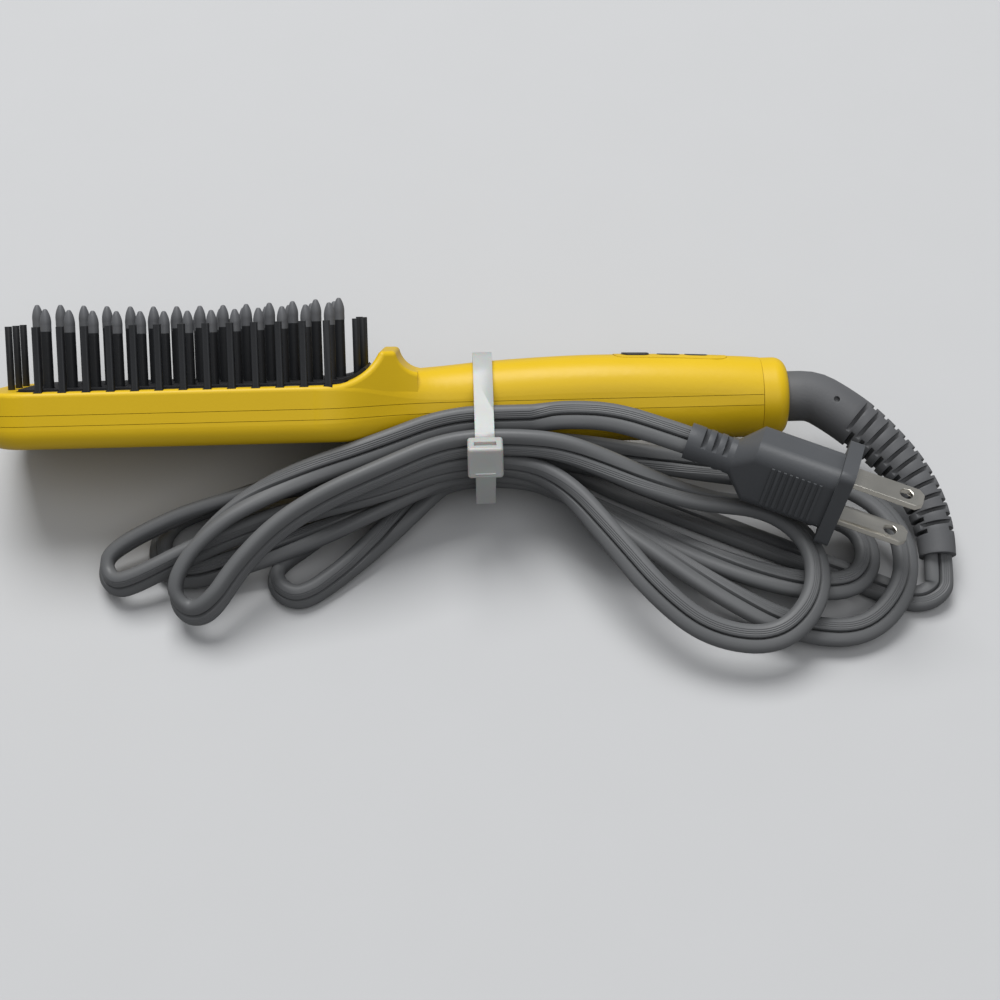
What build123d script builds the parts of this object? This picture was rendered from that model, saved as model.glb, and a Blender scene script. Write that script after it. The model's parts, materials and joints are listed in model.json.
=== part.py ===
from build123d import *
import math
import os

# Heated straightening brush with its twin cord folded into a hank and tied to the handle.
# All sizes are millimetres. The brush is drawn in its own frame first: X from the head's tip to
# the handle's end, Y across, Z the way the teeth point, with the seam's middle at Z = 0.
# It is then rolled onto its side, as it lies on a table, and centred on the origin.

# Overall shape of the body
SHELL_LENGTH = 197.5
COLLAR_LENGTH = 7.0
HEAD_HALF_WIDTH = 23.5
HEAD_TOP = 7.0
HEAD_BOTTOM = -7.4
HEAD_STRAIGHT = 84.0
HEAD_CORNER = 13.0
HEAD_BACK_ROUND = 5.0
HEAD_RIM_ROUND = 1.2
BAND_HALF = 1.4
SEAM_GAP = 0.12
WALL = 1.8
JOINT_GAP = 0.15
LIE_ROLL = -48.0

# Sections of the neck and handle: X, half width, top, bottom, top radius, bottom radius
BODY_SECTIONS = [
    (HEAD_STRAIGHT, HEAD_HALF_WIDTH, HEAD_TOP, HEAD_BOTTOM, HEAD_RIM_ROUND, HEAD_BACK_ROUND),
    (90.0, 22.9, 7.2, -7.5, 1.6, 5.2),
    (97.0, 19.2, 8.0, -7.8, 3.2, 5.8),
    (104.0, 14.6, 8.9, -8.2, 5.6, 6.6),
    (112.0, 11.6, 9.6, -8.8, 7.4, 7.6),
    (122.0, 10.9, 10.5, -9.4, 8.4, 8.4),
    (136.0, 10.8, 11.4, -9.9, 8.8, 8.8),
    (152.0, 10.9, 11.9, -10.2, 9.0, 9.0),
    (168.0, 10.9, 11.7, -10.3, 9.0, 9.0),
    (184.0, 10.6, 11.1, -10.3, 9.2, 9.2),
    (SHELL_LENGTH, 10.3, 10.3, -10.3, 9.7, 9.7),
]

# Finger guard between the head and the handle
GUARD_FOOT_X = 88.0
GUARD_RISE_X = 100.2
GUARD_FLAT_END_X = 104.2
GUARD_END_X = 109.5
GUARD_TOP = 14.8
GUARD_END_Z = 9.2
GUARD_SIDE_STEP = 0.15
GUARD_ROUND = 1.2

# Tooth field
TOOTH_COUNT = 13
TOOTH_PITCH = 5.94
TOOTH_START_X = 16.4
MIDDLE_ROW_LEAD = 4.1
MIDDLE_ROW_RISE = 1.0
ROW_SPACING = 9.6
TOOTH_WIDTH = 2.6
TOOTH_DEPTH = 2.7
TOOTH_EDGE_ROUND = 1.1
TOOTH_TIP_Z = 27.2
TIP_DIP = 1.2
TIP_CAP_LENGTH = 5.6
TIP_CAP_RADIUS = 1.38
TIP_CAP_STRAIGHT = 1.6
# Points up the cap's bullet nose: distance from its middle and height
TIP_CAP_FLANK = (1.17, 3.9)
TIP_CAP_BROW = (0.68, 5.15)
TIP_CAP_CROWN = (0.48, 5.46)
TIP_CAP_FLAT = 0.22
SPIGOT_RADIUS = 0.9
SPIGOT_LENGTH = 3.2
CAP_FIT = 0.05
END_PIN_RADIUS = 0.9
END_PIN_TOP = 23.0
END_PIN_SOCKET = 1.2
FRONT_PIN_X = 6.6
FRONT_PIN_YS = (-8.0, 0.0, 8.0)
REAR_PIN_SPOTS = ((94.2, -9.0), (94.2, 9.0), (95.6, -3.4), (95.6, 3.4))

# Cool bars along both sides of the head, each with a foot let into the rim
SIDE_BAR_Y = 21.1
SIDE_BAR_WIDTH = 1.7
SIDE_BAR_DEPTH = 2.4
SIDE_BAR_TOP = 23.0
SIDE_BAR_ROUND = 0.4
SIDE_STRIP_INNER = 18.6
SIDE_STRIP_OUTER = 20.05
SIDE_STRIP_BOTTOM = 3.6
FOOT_OUTER = 22.85
FOOT_WIDTH = 2.0
FOOT_BOTTOM = 6.25
FOOT_TOP = 7.1
FOOT_GAP = 0.12

# Bristle bed, a plastic plate with a slot for each tooth
BED_HALF_WIDTH = 18.45
BED_FRONT_X = 9.5
BED_CORNER = 5.5
BED_END_X = 92.2
BED_TOP = 7.4
BED_ROOF = 1.5
BED_SKIRT_Z = 2.6
BED_SKIRT_WALL = 1.2
BED_TAIL_THICK = 0.7
BED_TAIL_END_X = 96.8
BED_TAIL_HALF_WIDTH = 14.0
TOOTH_SLOT_GAP = 0.2
OPENING_GAP = 0.15
OPENING_HALF_WIDTH = 20.2

# Heater stack below the bed
RAIL_HEIGHT = 1.9
RAIL_HALF_WIDTH = 2.2
RAIL_OVERHANG = 2.2
PLATE_THICK = 1.6
HEATER_THICK = 1.3
HEATER_HALF_WIDTH = 7.0
HEATER_FRONT_X = 14.0
HEATER_END_X = 82.0
MICA_THICK = 0.3
MICA_MARGIN = 1.0
CLAMP_THICK = 0.8
CLAMP_HALF_WIDTH = 15.0
STACK_SCREW_RADIUS = 1.0
STACK_SCREW_HEAD = 1.8
STACK_SCREW_HEAD_HIGH = 1.1
STACK_SCREW_XS = (20.0, 48.0, 76.0)
STACK_SCREW_Y = 12.0
FUSE_RADIUS = 1.7
FUSE_LENGTH = 9.0
FUSE_X = 62.0
BEAD_RADIUS = 1.2
BEAD_X = 36.0
LEAD_RADIUS = 0.6
WIRE_LANE = 4.0

# Control board, switches and buttons
BOARD_START_X = 154.0
BOARD_END_X = 190.0
BOARD_HALF_WIDTH = 7.4
BOARD_TOP = 3.0
BOARD_THICK = 1.2
SWITCH_SIZE = 4.6
SWITCH_HEIGHT = 2.2
PLUNGER_RADIUS = 1.0
PLUNGER_HEIGHT = 0.9
BUTTON_TRAVEL = 0.5
BUTTON_REST_GAP = 0.15
BUTTON_GAP = 0.25
BUTTON_FLANGE = 0.8
BUTTON_FLANGE_THICK = 0.8
BUTTON_STEM_RADIUS = 1.3
PANEL_START_X = 160.0
PANEL_END_X = 189.0
PANEL_HALF_WIDTH = 4.9
PANEL_FLOOR = 10.4
PANEL_PROUD = 0.15
PANEL_CORNER = 2.4
PANEL_GAP = 0.1
PANEL_LEDGE = 0.7
BUTTON_CORNER = 1.6
# Each button: centre X, half length, half width, height above the panel
BUTTONS = {
    "power_button": (165.6, 3.4, 3.3, 0.35),
    "temp_up_button": (174.2, 2.8, 2.6, 0.1),
    "temp_down_button": (181.4, 2.8, 2.6, 0.1),
}
LIGHT_X = 186.4
LIGHT_RADIUS = 0.8

# Body screws
BODY_SCREW_XS = (118.0, 146.0)
HEAD_SCREW_X = 96.0
HEAD_SCREW_Y = 12.5
BOSS_RADIUS = 2.6
SCREW_RADIUS = 1.1
SCREW_HEAD_RADIUS = 2.0
SCREW_HEAD_HEIGHT = 1.4
SCREW_SINK = 1.2
SCREW_BITE = 0.15
BOSS_MEET = -2.0

# Swivel at the handle's end
COLLAR_RADIUS = 10.2
COLLAR_DOME = 3.4
COLLAR_SPIGOT = 6.0
COLLAR_END_WALL = 2.2
BARREL_RADIUS = 4.6
BARREL_FLANGE_RADIUS = 7.4
BARREL_FLANGE_THICK = 2.0
SWIVEL_CLEARANCE = 0.2
WASHER_THICK = 0.8
PIN_RADIUS = 1.5
PIN_REACH = 5.0
SPRING_THICK = 0.4
CONTACT_RING_RADIUS = 3.2
LEAF_REACH = 2.6
LEAF_HALF_WIDTH = 1.4
CARRIER_HALF_WIDTH = 5.5
CARRIER_HALF_HEIGHT = 5.0
CARRIER_THICK = 1.2
FLANGE_PLAY = 0.1
BARREL_PLUG = 3.5

# Elbow and slotted strain relief
ELBOW_RADIUS = 6.5
ELBOW_RUN = 4.1
ELBOW_TURN = 33.0
ELBOW_BEND = 10.0
RELIEF_FIRST_TURN = 22.0
RELIEF_FIRST_BEND = 70.0
RELIEF_SECOND_TURN = 35.0
RELIEF_SECOND_BEND = 38.0
RELIEF_LAST_RUN = 2.0
RELIEF_END_RADIUS = 4.6
RELIEF_SLOTS = 22
RELIEF_SLOT_WIDTH = 1.1
RELIEF_SLOT_START = 20.0
RELIEF_SLOT_END = 56.0
RELIEF_SLOT_DEPTH = 2.1
RELIEF_HEADING = 198.5
RELIEF_DIMPLE_SPOT = 13.0
RELIEF_DIMPLE_RADIUS = 0.8
RELIEF_DIMPLE_DEPTH = 1.0

# Cord: a flat twin 7.2 by 3.6, drawn as a round tube of nearly the same area
CORD_TUBE = 5.2
CORD_FLOOR = CORD_TUBE / 2 + 0.1
TIE_X = 126.0
WAIST_HALF = 9.0
STRAND_STEP = 5.8
STRAND_RADIUS = 14.2
INNER_STRANDS = (144.0, 173.0, 202.0, 231.0)
OUTER_STRANDS = (157.0, 178.0, 199.0, 220.0)

# Loops of the hank. A row holds the strand that leaves the tie and the one that returns, the
# centre X and Y of the round end, its radius, the heading it points at in degrees, the heights of
# the cord where the round end starts, halfway and where it ends, how long each side keeps its
# direction at the tie and at the round end, and -1 where the far side is the one that leaves
LEFT_LOOPS = [
    (("inner", 3), ("outer", 3), -24.0, -47.5, 6.0, 214.0, (2.7, 2.7, 2.7), 12.0, 22.0, -1),
    (("inner", 2), ("outer", 2), -50.0, -37.0, 10.0, 193.0, (2.7, 2.7, 5.2), 18.0, 30.0, -1),
    (("inner", 1), ("outer", 1), -67.0, -45.0, 5.5, 206.0, (9.5, 5.0, 8.0), 28.0, 46.0, -1),
    (("outer", 0), ("inner", 0), -48.0, -54.0, 6.0, 234.0, (12.0, 6.0, 15.0), 28.0, 26.0, 1),
]
RIGHT_LOOPS = [
    (("outer", 3), ("inner", 2), 109.0, -47.5, 10.5, 0.0, (8.4, 8.6, 8.6), 12.0, 26.0, -1),
    (("outer", 2), ("inner", 1), 109.0, -50.0, 19.5, 0.0, (2.7, 10.5, 14.4), 14.0, 26.0, -1),
    (("outer", 1), ("outer", 0), 87.0, -56.0, 18.0, 0.0, (8.0, 15.0, 15.5), 18.0, 28.0, -1),
]
SIDE_SHARES = (0.22, 0.45, 0.68, 0.88)
END_SHARES = (0.125, 0.375, 0.625, 0.875)
FALL_POWER = 2.0
LEFT_LEAN = 0.54
# Route of the lead between the strain relief's mouth and the hank, after its straight start
LEAD_START_RUN = 5.0
# Where the stretch that bends with the swivel ends, and the way that the lead runs there
LEAD_BEND_END = (122.2, -54.1, 2.7)
LEAD_BEND_DIRECTION = (-0.883, 0.469, 0)
LEAD_ROUTE = [
    (137.2, -56.4, 3.4),
    (132.0, -58.6, CORD_FLOOR),
    (125.4, -55.8, CORD_FLOOR),
    (119.0, -52.4, CORD_FLOOR),
    (103.0, -44.4, CORD_FLOOR),
    (79.0, -32.2, CORD_FLOOR),
    (56.0, -21.0, CORD_FLOOR),
]
# Route of the plug's cord between the hank and the plug
PLUG_ROUTE = [
    (44.0, -18.4, 30.6),
    (56.0, -20.6, 32.2),
]
MATE_DEPTH = 2.5
MATE_RADIUS = 3.1
JOIN_RUN = 5.0
LEAST_SPACING_APART = 20.0

# Where the handle's axis lies in the frame that the cord's routes are written in
LIE_AXIS = (-102.4, -6.4, 20.35)

# Plug: moulded body with two flat blades. Its own X points along the blades, its Z from blade
# to blade, and its origin is the middle of the flange's face
PLUG_FACE_SPOT = (111.7, -43.8, 28.0)
PLUG_AXIS = (0.925, -0.363, -0.109)
PLUG_UP = (0.25, 0.13, 0.96)
PLUG_LENGTH = 41.0
PLUG_FLANGE_LENGTH = 3.6
PLUG_FLANGE_HIGH = 24.0
PLUG_FLANGE_WIDE = 15.0
PLUG_FLANGE_ROUND = 2.0
PLUG_WAIST_HIGH = 19.0
PLUG_WAIST_WIDE = 12.5
PLUG_WAIST_ROUND = 4.0
PLUG_WAIST_START = 24.0
PLUG_NECK_RADIUS = 4.6
PLUG_NECK_START = 29.0
PLUG_NECK_SLOTS = (31.2, 34.0, 36.8)
PLUG_SLOT_WIDTH = 1.3
PLUG_SLOT_DEPTH = 2.2
PLUG_RIBS = 9
PLUG_RIB_PITCH = 1.5
PLUG_RIB_WIDTH = 0.7
PLUG_RIB_HIGH = 0.4
PLUG_RIB_LENGTH = 12.0
PLUG_RIB_X = -13.0
BLADE_SPACING = 12.7
BLADE_WIDTH = 6.35
BLADE_THICK = 1.5
BLADE_LENGTH = 17.5
BLADE_ROOT = 6.0
BLADE_HOLE_RADIUS = 1.6
BLADE_HOLE_INSET = 4.4
BLADE_CHAMFER = 1.5

# Nylon tie round the handle and the hank
TIE_WIDTH = 4.9
TIE_THICK = 1.2
TIE_HEAD = (8.8, 6.2, 8.6)
TIE_HEAD_ANGLE = 158.0
TIE_TAIL = 13.0
TIE_TAIL_LEAN = 6.0
TIE_HANDLE_RADIUS = 12.1
TIE_STRAND_RADIUS = 2.9

# Ribs that carry the board
RIB_START_X = 158.0
RIB_END_X = 186.0
RIB_INNER = 7.0
RIB_OUTER = 8.6

def rounded_section(x, half, top, bottom, top_round, bottom_round, inset=0.0):
    """A closed outline across the body at x, with its own corner radii, drawn in by inset."""
    half -= inset
    top -= inset
    bottom += inset
    top_round = max(top_round - inset, 0.5)
    bottom_round = max(bottom_round - inset, 0.5)
    right_top = (half - top_round, top - top_round)
    left_top = (top_round - half, top - top_round)
    left_bottom = (bottom_round - half, bottom + bottom_round)
    right_bottom = (half - bottom_round, bottom + bottom_round)
    edges = [
        CenterArc(right_top, top_round, 0, 90),
        Line((half - top_round, top), (top_round - half, top)),
        CenterArc(left_top, top_round, 90, 90),
        Line((-half, top - top_round), (-half, bottom + bottom_round)),
        CenterArc(left_bottom, bottom_round, 180, 90),
        Line((bottom_round - half, bottom), (half - bottom_round, bottom)),
        CenterArc(right_bottom, bottom_round, 270, 90),
        Line((half, bottom + bottom_round), (half, top - top_round)),
    ]
    return Plane((x, 0, 0), x_dir=(0, 1, 0), z_dir=(1, 0, 0)) * Face(Wire(edges))


def box_between(low, high):
    """A box from its lowest corner to its highest."""
    size = [b - a for a, b in zip(low, high)]
    centre = [(a + b) / 2 for a, b in zip(low, high)]
    return Pos(*centre) * Box(*size)


def rod(start, axis, radius, length):
    """A cylinder from a start point along an axis."""
    return Plane(start, z_dir=axis) * Cylinder(radius, length, align=(Align.CENTER, Align.CENTER, Align.MIN))


def head_block(inset):
    """The straight part of the head, rounded at its tip and its back."""
    half = HEAD_HALF_WIDTH - inset
    corner = HEAD_CORNER - inset
    outline = Polyline(
        (HEAD_STRAIGHT, -half), (inset + corner, -half), close=False
    ) + CenterArc((inset + corner, corner - half), corner, 180, 90)
    outline += Line((inset, corner - half), (inset, half - corner))
    outline += CenterArc((inset + corner, half - corner), corner, 90, 90)
    outline += Line((inset + corner, half), (HEAD_STRAIGHT, half))
    outline += Line((HEAD_STRAIGHT, half), (HEAD_STRAIGHT, -half))
    plan = make_face(outline)
    bottom = HEAD_BOTTOM + inset
    top = HEAD_TOP - inset
    block = extrude(Pos(0, 0, bottom) * plan, top - bottom)
    inner_side = [e for e in block.edges().group_by(Axis.Z)[0] if e.center().X < HEAD_STRAIGHT - 0.1]
    block = fillet(inner_side, max(HEAD_BACK_ROUND - inset, 0.5))
    rim = [e for e in block.edges().group_by(Axis.Z)[-1] if e.center().X < HEAD_STRAIGHT - 0.1]
    return fillet(rim, max(HEAD_RIM_ROUND - inset, 0.5))


def body_solid(inset=0.0):
    """The whole outer form of head, neck and handle, drawn in by inset."""
    neck = loft([rounded_section(*row, inset=inset) for row in BODY_SECTIONS])
    return head_block(inset) + neck


def slope_radius():
    """Radius of the arc that climbs from the head's rim to the guard's crest."""
    run = GUARD_RISE_X - GUARD_FOOT_X
    rise = GUARD_TOP - HEAD_TOP
    return (run ** 2 + rise ** 2) / (2 * rise)


def slope_point(x, lift=0.0):
    """A point of the guard's front slope at x, lifted off it by a distance along its radius."""
    radius = slope_radius()
    turn = math.asin((x - GUARD_FOOT_X) / radius)
    reach = radius - lift
    return (GUARD_FOOT_X + reach * math.sin(turn), HEAD_TOP + radius - reach * math.cos(turn))


def guard_plan():
    """Plan of the finger guard, flush with the sides of the body."""
    sides = [(row[0], row[1] - GUARD_SIDE_STEP) for row in BODY_SECTIONS[:5]]
    far = [(x, -y) for x, y in reversed(sides)]
    outline = Spline(*sides) + Line(sides[-1], far[0]) + Spline(*far) + Line(far[-1], sides[0])
    return make_face(outline)


def finger_guard():
    """The raised ridge between head and handle."""
    slope = ThreePointArc(
        slope_point(GUARD_FOOT_X), slope_point((GUARD_FOOT_X + GUARD_RISE_X) / 2), slope_point(GUARD_RISE_X)
    )
    flat = Line((GUARD_RISE_X, GUARD_TOP), (GUARD_FLAT_END_X, GUARD_TOP))
    back = ThreePointArc((GUARD_FLAT_END_X, GUARD_TOP), (106.1, 10.9), (GUARD_END_X, GUARD_END_Z))
    foot = Polyline(
        (GUARD_END_X, GUARD_END_Z), (GUARD_END_X, BAND_HALF), (GUARD_FOOT_X, BAND_HALF), (GUARD_FOOT_X, HEAD_TOP)
    )
    side = make_face(slope + flat + back + foot)
    ridge = extrude(Plane.XZ * side, HEAD_HALF_WIDTH, both=True)
    ridge = ridge & extrude(guard_plan(), 2 * GUARD_TOP)
    sides = [e for e in ridge.edges() if e.center().Z > HEAD_TOP + 1 and abs(e.center().Y) > 5]
    crest = [e for e in ridge.edges() if e.center().Z > GUARD_TOP - 0.1 and abs(e.center().Y) < 2]
    return fillet(sides + crest, GUARD_ROUND)


def tooth_xs(middle_row=False):
    """Centres of one row of teeth along the head. The middle row starts further forward."""
    start = TOOTH_START_X - MIDDLE_ROW_LEAD if middle_row else TOOTH_START_X
    count = TOOTH_COUNT + 1 if middle_row else TOOTH_COUNT
    return [start + i * TOOTH_PITCH for i in range(count)]


def tip_height(x, middle_row):
    """Height of a tooth's tip, lowest halfway along the head."""
    reach = (TOOTH_COUNT - 1) * TOOTH_PITCH / 2
    middle = TOOTH_START_X + reach
    rise = MIDDLE_ROW_RISE if middle_row else 0.0
    return TOOTH_TIP_Z + rise - TIP_DIP * (1 - min(1.0, ((x - middle) / reach) ** 2))


RAIL_TOP = BED_TOP - BED_ROOF
PLATE_TOP = RAIL_TOP - RAIL_HEIGHT
HEATER_TOP = PLATE_TOP - PLATE_THICK
MICA_TOP = HEATER_TOP - HEATER_THICK
CLAMP_TOP = MICA_TOP - MICA_THICK
CLAMP_BOTTOM = CLAMP_TOP - CLAMP_THICK
CAVITY_HALF_WIDTH = BED_HALF_WIDTH - BED_SKIRT_WALL
CAVITY_FRONT_X = BED_FRONT_X + BED_SKIRT_WALL
CAVITY_END_X = BED_END_X - BED_SKIRT_WALL
CAVITY_CORNER = BED_CORNER - BED_SKIRT_WALL
# Each row of heated teeth: place across the head and whether it is the longer, taller middle row
TOOTH_ROWS = {
    "heated_comb_near": (-ROW_SPACING, False),
    "heated_comb_middle": (0.0, True),
    "heated_comb_far": (ROW_SPACING, False),
}


def core_tooth(x, y, middle_row):
    """Aluminium core of one heated tooth, with the round spigot that its tip fits on."""
    half_wide = TOOTH_WIDTH / 2
    half_deep = TOOTH_DEPTH / 2
    shoulder = tip_height(x, middle_row) - TIP_CAP_LENGTH
    stem = box_between((x - half_wide, y - half_deep, RAIL_TOP), (x + half_wide, y + half_deep, shoulder))
    stem = fillet(stem.edges().filter_by(Axis.Z), TOOTH_EDGE_ROUND)
    return stem + rod((x, y, shoulder), (0, 0, 1), SPIGOT_RADIUS, SPIGOT_LENGTH)


def cool_tip(x, y, middle_row):
    """Plastic cap over one tooth, turned to a bullet nose."""
    side = Line((TIP_CAP_RADIUS, 0), (TIP_CAP_RADIUS, TIP_CAP_STRAIGHT))
    flank = ThreePointArc(side @ 1, TIP_CAP_FLANK, TIP_CAP_BROW)
    crown = ThreePointArc(flank @ 1, TIP_CAP_CROWN, (TIP_CAP_FLAT, TIP_CAP_LENGTH))
    top = Line(crown @ 1, (0, TIP_CAP_LENGTH))
    bore = SPIGOT_RADIUS + CAP_FIT
    bore_top = SPIGOT_LENGTH + CAP_FIT
    inner = Polyline((0, TIP_CAP_LENGTH), (0, bore_top), (bore, bore_top), (bore, 0), (TIP_CAP_RADIUS, 0))
    profile = make_face(side + flank + crown + top + inner)
    cap = revolve(Plane.XZ * profile, Axis.Z)
    return Pos(x, y, tip_height(x, middle_row) - TIP_CAP_LENGTH) * cap


def heated_comb(y, middle_row):
    """One aluminium rail with its row of teeth."""
    xs = tooth_xs(middle_row)
    low = (xs[0] - TOOTH_WIDTH / 2, y - RAIL_HALF_WIDTH, PLATE_TOP)
    high = (xs[-1] + TOOTH_WIDTH / 2, y + RAIL_HALF_WIDTH, RAIL_TOP)
    return box_between(low, high) + [core_tooth(x, y, middle_row) for x in xs]


def side_bars(side):
    """The row of cool bars on one side, standing on feet that join one strip."""
    xs = tooth_xs()
    strip_ys = sorted((side * SIDE_STRIP_INNER, side * SIDE_STRIP_OUTER))
    foot_ys = sorted((side * SIDE_STRIP_INNER, side * FOOT_OUTER))
    bar_ys = sorted((side * (SIDE_BAR_Y - SIDE_BAR_DEPTH / 2), side * (SIDE_BAR_Y + SIDE_BAR_DEPTH / 2)))
    strip = box_between(
        (xs[0] - RAIL_OVERHANG, strip_ys[0], SIDE_STRIP_BOTTOM), (xs[-1] + RAIL_OVERHANG, strip_ys[1], FOOT_TOP)
    )
    pieces = []
    for x in xs:
        foot = box_between((x - FOOT_WIDTH / 2, foot_ys[0], FOOT_BOTTOM), (x + FOOT_WIDTH / 2, foot_ys[1], FOOT_TOP))
        bar = box_between(
            (x - SIDE_BAR_WIDTH / 2, bar_ys[0], FOOT_TOP), (x + SIDE_BAR_WIDTH / 2, bar_ys[1], SIDE_BAR_TOP)
        )
        pieces += [foot, fillet(bar.edges().filter_by(Axis.Z), SIDE_BAR_ROUND)]
    return strip + pieces


def bristle_bed():
    """The plate between the teeth, with a skirt below and a tail up the guard's slope."""
    plate = box_between((BED_FRONT_X, -BED_HALF_WIDTH, BED_SKIRT_Z), (BED_END_X, BED_HALF_WIDTH, BED_TOP))
    front = plate.edges().filter_by(Axis.Z).group_by(Axis.X)[0]
    plate = fillet(front, BED_CORNER)
    cavity = box_between(
        (CAVITY_FRONT_X, -CAVITY_HALF_WIDTH, BED_SKIRT_Z - 1), (CAVITY_END_X, CAVITY_HALF_WIDTH, RAIL_TOP)
    )
    front = cavity.edges().filter_by(Axis.Z).group_by(Axis.X)[0]
    plate -= fillet(front, CAVITY_CORNER)
    mouth = (GUARD_FOOT_X, BED_TAIL_END_X)
    middle = sum(mouth) / 2
    low = ThreePointArc(*[slope_point(x, FOOT_GAP) for x in (mouth[0], middle, mouth[1])])
    high = ThreePointArc(*[slope_point(x, FOOT_GAP + BED_TAIL_THICK) for x in (mouth[1], middle, mouth[0])])
    profile = make_face(low + Line(low @ 1, high @ 0) + high + Line(high @ 1, low @ 0))
    tail = extrude(Plane.XZ * profile, BED_TAIL_HALF_WIDTH, both=True)
    plate += tail
    slots = []
    half_wide = TOOTH_WIDTH / 2 + TOOTH_SLOT_GAP
    half_deep = TOOTH_DEPTH / 2 + TOOTH_SLOT_GAP
    for y, middle_row in TOOTH_ROWS.values():
        for x in tooth_xs(middle_row):
            low = (x - half_wide, y - half_deep, RAIL_TOP - 1)
            slots.append(box_between(low, (x + half_wide, y + half_deep, BED_TOP + 1)))
    return plate - slots - rear_pins()


def shell_opening():
    """The hole in the front shell that the bristle bed and the side strips fill."""
    front_x = BED_FRONT_X - OPENING_GAP
    hole = box_between(
        (front_x, -OPENING_HALF_WIDTH, BAND_HALF), (BED_END_X + OPENING_GAP, OPENING_HALF_WIDTH, GUARD_TOP)
    )
    corners = hole.edges().filter_by(Axis.Z).group_by(Axis.X)[0]
    hole = fillet(corners, BED_CORNER + OPENING_GAP)
    notches = []
    for side in (-1, 1):
        ys = sorted((side * (OPENING_HALF_WIDTH - 1), side * (FOOT_OUTER + FOOT_GAP)))
        for x in tooth_xs():
            half = FOOT_WIDTH / 2 + FOOT_GAP
            notches.append(box_between((x - half, ys[0], FOOT_BOTTOM - FOOT_GAP), (x + half, ys[1], HEAD_TOP + 1)))
    return hole, notches


def boss(x, y, low, high, hole):
    """A screw boss standing between two heights, with its pilot hole."""
    return rod((x, y, low), (0, 0, 1), BOSS_RADIUS, high - low) - rod((x, y, low), (0, 0, 1), hole, high - low)


BODY_SCREW_SPOTS = [(x, 0.0) for x in BODY_SCREW_XS] + [(HEAD_SCREW_X, -HEAD_SCREW_Y), (HEAD_SCREW_X, HEAD_SCREW_Y)]


def back_at(x):
    """Height of the handle's back surface at x, between two sections."""
    for left, right in zip(BODY_SECTIONS, BODY_SECTIONS[1:]):
        if left[0] <= x <= right[0]:
            share = (x - left[0]) / (right[0] - left[0])
            return left[3] + share * (right[3] - left[3])
    return HEAD_BOTTOM


def front_at(x):
    """Height of the handle's front surface at x, between two sections."""
    for left, right in zip(BODY_SECTIONS, BODY_SECTIONS[1:]):
        if left[0] <= x <= right[0]:
            share = (x - left[0]) / (right[0] - left[0])
            return left[2] + share * (right[2] - left[2])
    return HEAD_TOP


def slab(low, high):
    """A slab across the whole body between two heights."""
    return box_between((-5, -2 * HEAD_HALF_WIDTH, low), (SHELL_LENGTH + 5, 2 * HEAD_HALF_WIDTH, high))


def panel_prism(grow, low, high):
    """The rounded outline of the button panel, between two heights."""
    length = PANEL_END_X - PANEL_START_X + 2 * grow
    width = 2 * (PANEL_HALF_WIDTH + grow)
    outline = RectangleRounded(length, width, PANEL_CORNER + grow)
    return extrude(Pos((PANEL_START_X + PANEL_END_X) / 2, 0, low) * outline, high - low)


def button_prism(name, grow, low, high):
    """The rounded outline of one button, between two heights."""
    x, half_long, half_wide, _ = BUTTONS[name]
    outline = RectangleRounded(2 * (half_long + grow), 2 * (half_wide + grow), BUTTON_CORNER + grow)
    return extrude(Pos(x, 0, low) * outline, high - low)


def body_shells():
    """Front shell, back shell and the band between them."""
    outer = body_solid()
    inner = body_solid(WALL)
    bore = rod((SHELL_LENGTH - COLLAR_SPIGOT, 0, 0), (1, 0, 0), COLLAR_RADIUS - WALL, COLLAR_SPIGOT + 1)
    inner = inner + bore
    front = (outer & slab(BAND_HALF, GUARD_TOP)) + finger_guard()
    front -= inner
    hole, notches = shell_opening()
    front = front - hole - notches
    front -= panel_prism(PANEL_GAP, PANEL_FLOOR, GUARD_TOP)
    for name in BUTTONS:
        front -= button_prism(name, BUTTON_GAP + BUTTON_FLANGE, BAND_HALF, PANEL_FLOOR - PANEL_LEDGE)
        front -= button_prism(name, BUTTON_GAP, BAND_HALF, GUARD_TOP)
    front -= rod((LIGHT_X, 0, BAND_HALF), (0, 0, 1), LIGHT_RADIUS + BUTTON_GAP, GUARD_TOP)
    back = (outer & slab(HEAD_BOTTOM - 5, -BAND_HALF)) - inner
    for x, y in BODY_SCREW_SPOTS:
        top = front_at(x) - WALL + 0.4
        front += boss(x, y, BOSS_MEET, top, SCREW_RADIUS - SCREW_BITE)
        low = back_at(x) + SCREW_SINK + SCREW_HEAD_HEIGHT
        post = rod((x, y, back_at(x) + 0.9), (0, 0, 1), BOSS_RADIUS + 0.6, BOSS_MEET - back_at(x) - 0.9)
        back += post
        back -= rod((x, y, back_at(x) - 1), (0, 0, 1), SCREW_HEAD_RADIUS + 0.2, low - back_at(x) + 1)
        back -= rod((x, y, low - 1), (0, 0, 1), SCREW_RADIUS + 0.15, BOSS_MEET - low + 2)
    rib_top = BOARD_TOP - BOARD_THICK - JOINT_GAP
    for side in (-1, 1):
        ys = sorted((side * RIB_INNER, side * RIB_OUTER))
        rib = box_between((RIB_START_X, ys[0], HEAD_BOTTOM), (RIB_END_X, ys[1], rib_top))
        back += rib & body_solid(WALL / 2)
    front -= front_pins()
    band = (outer & slab(-BAND_HALF + SEAM_GAP, BAND_HALF - SEAM_GAP)) - inner
    return front, back, band


def front_pins():
    """Short pins in front of the teeth, let into the head's rim."""
    length = END_PIN_TOP - HEAD_TOP + END_PIN_SOCKET
    return [rod((FRONT_PIN_X, y, HEAD_TOP - END_PIN_SOCKET), (0, 0, 1), END_PIN_RADIUS, length) for y in FRONT_PIN_YS]


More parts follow.
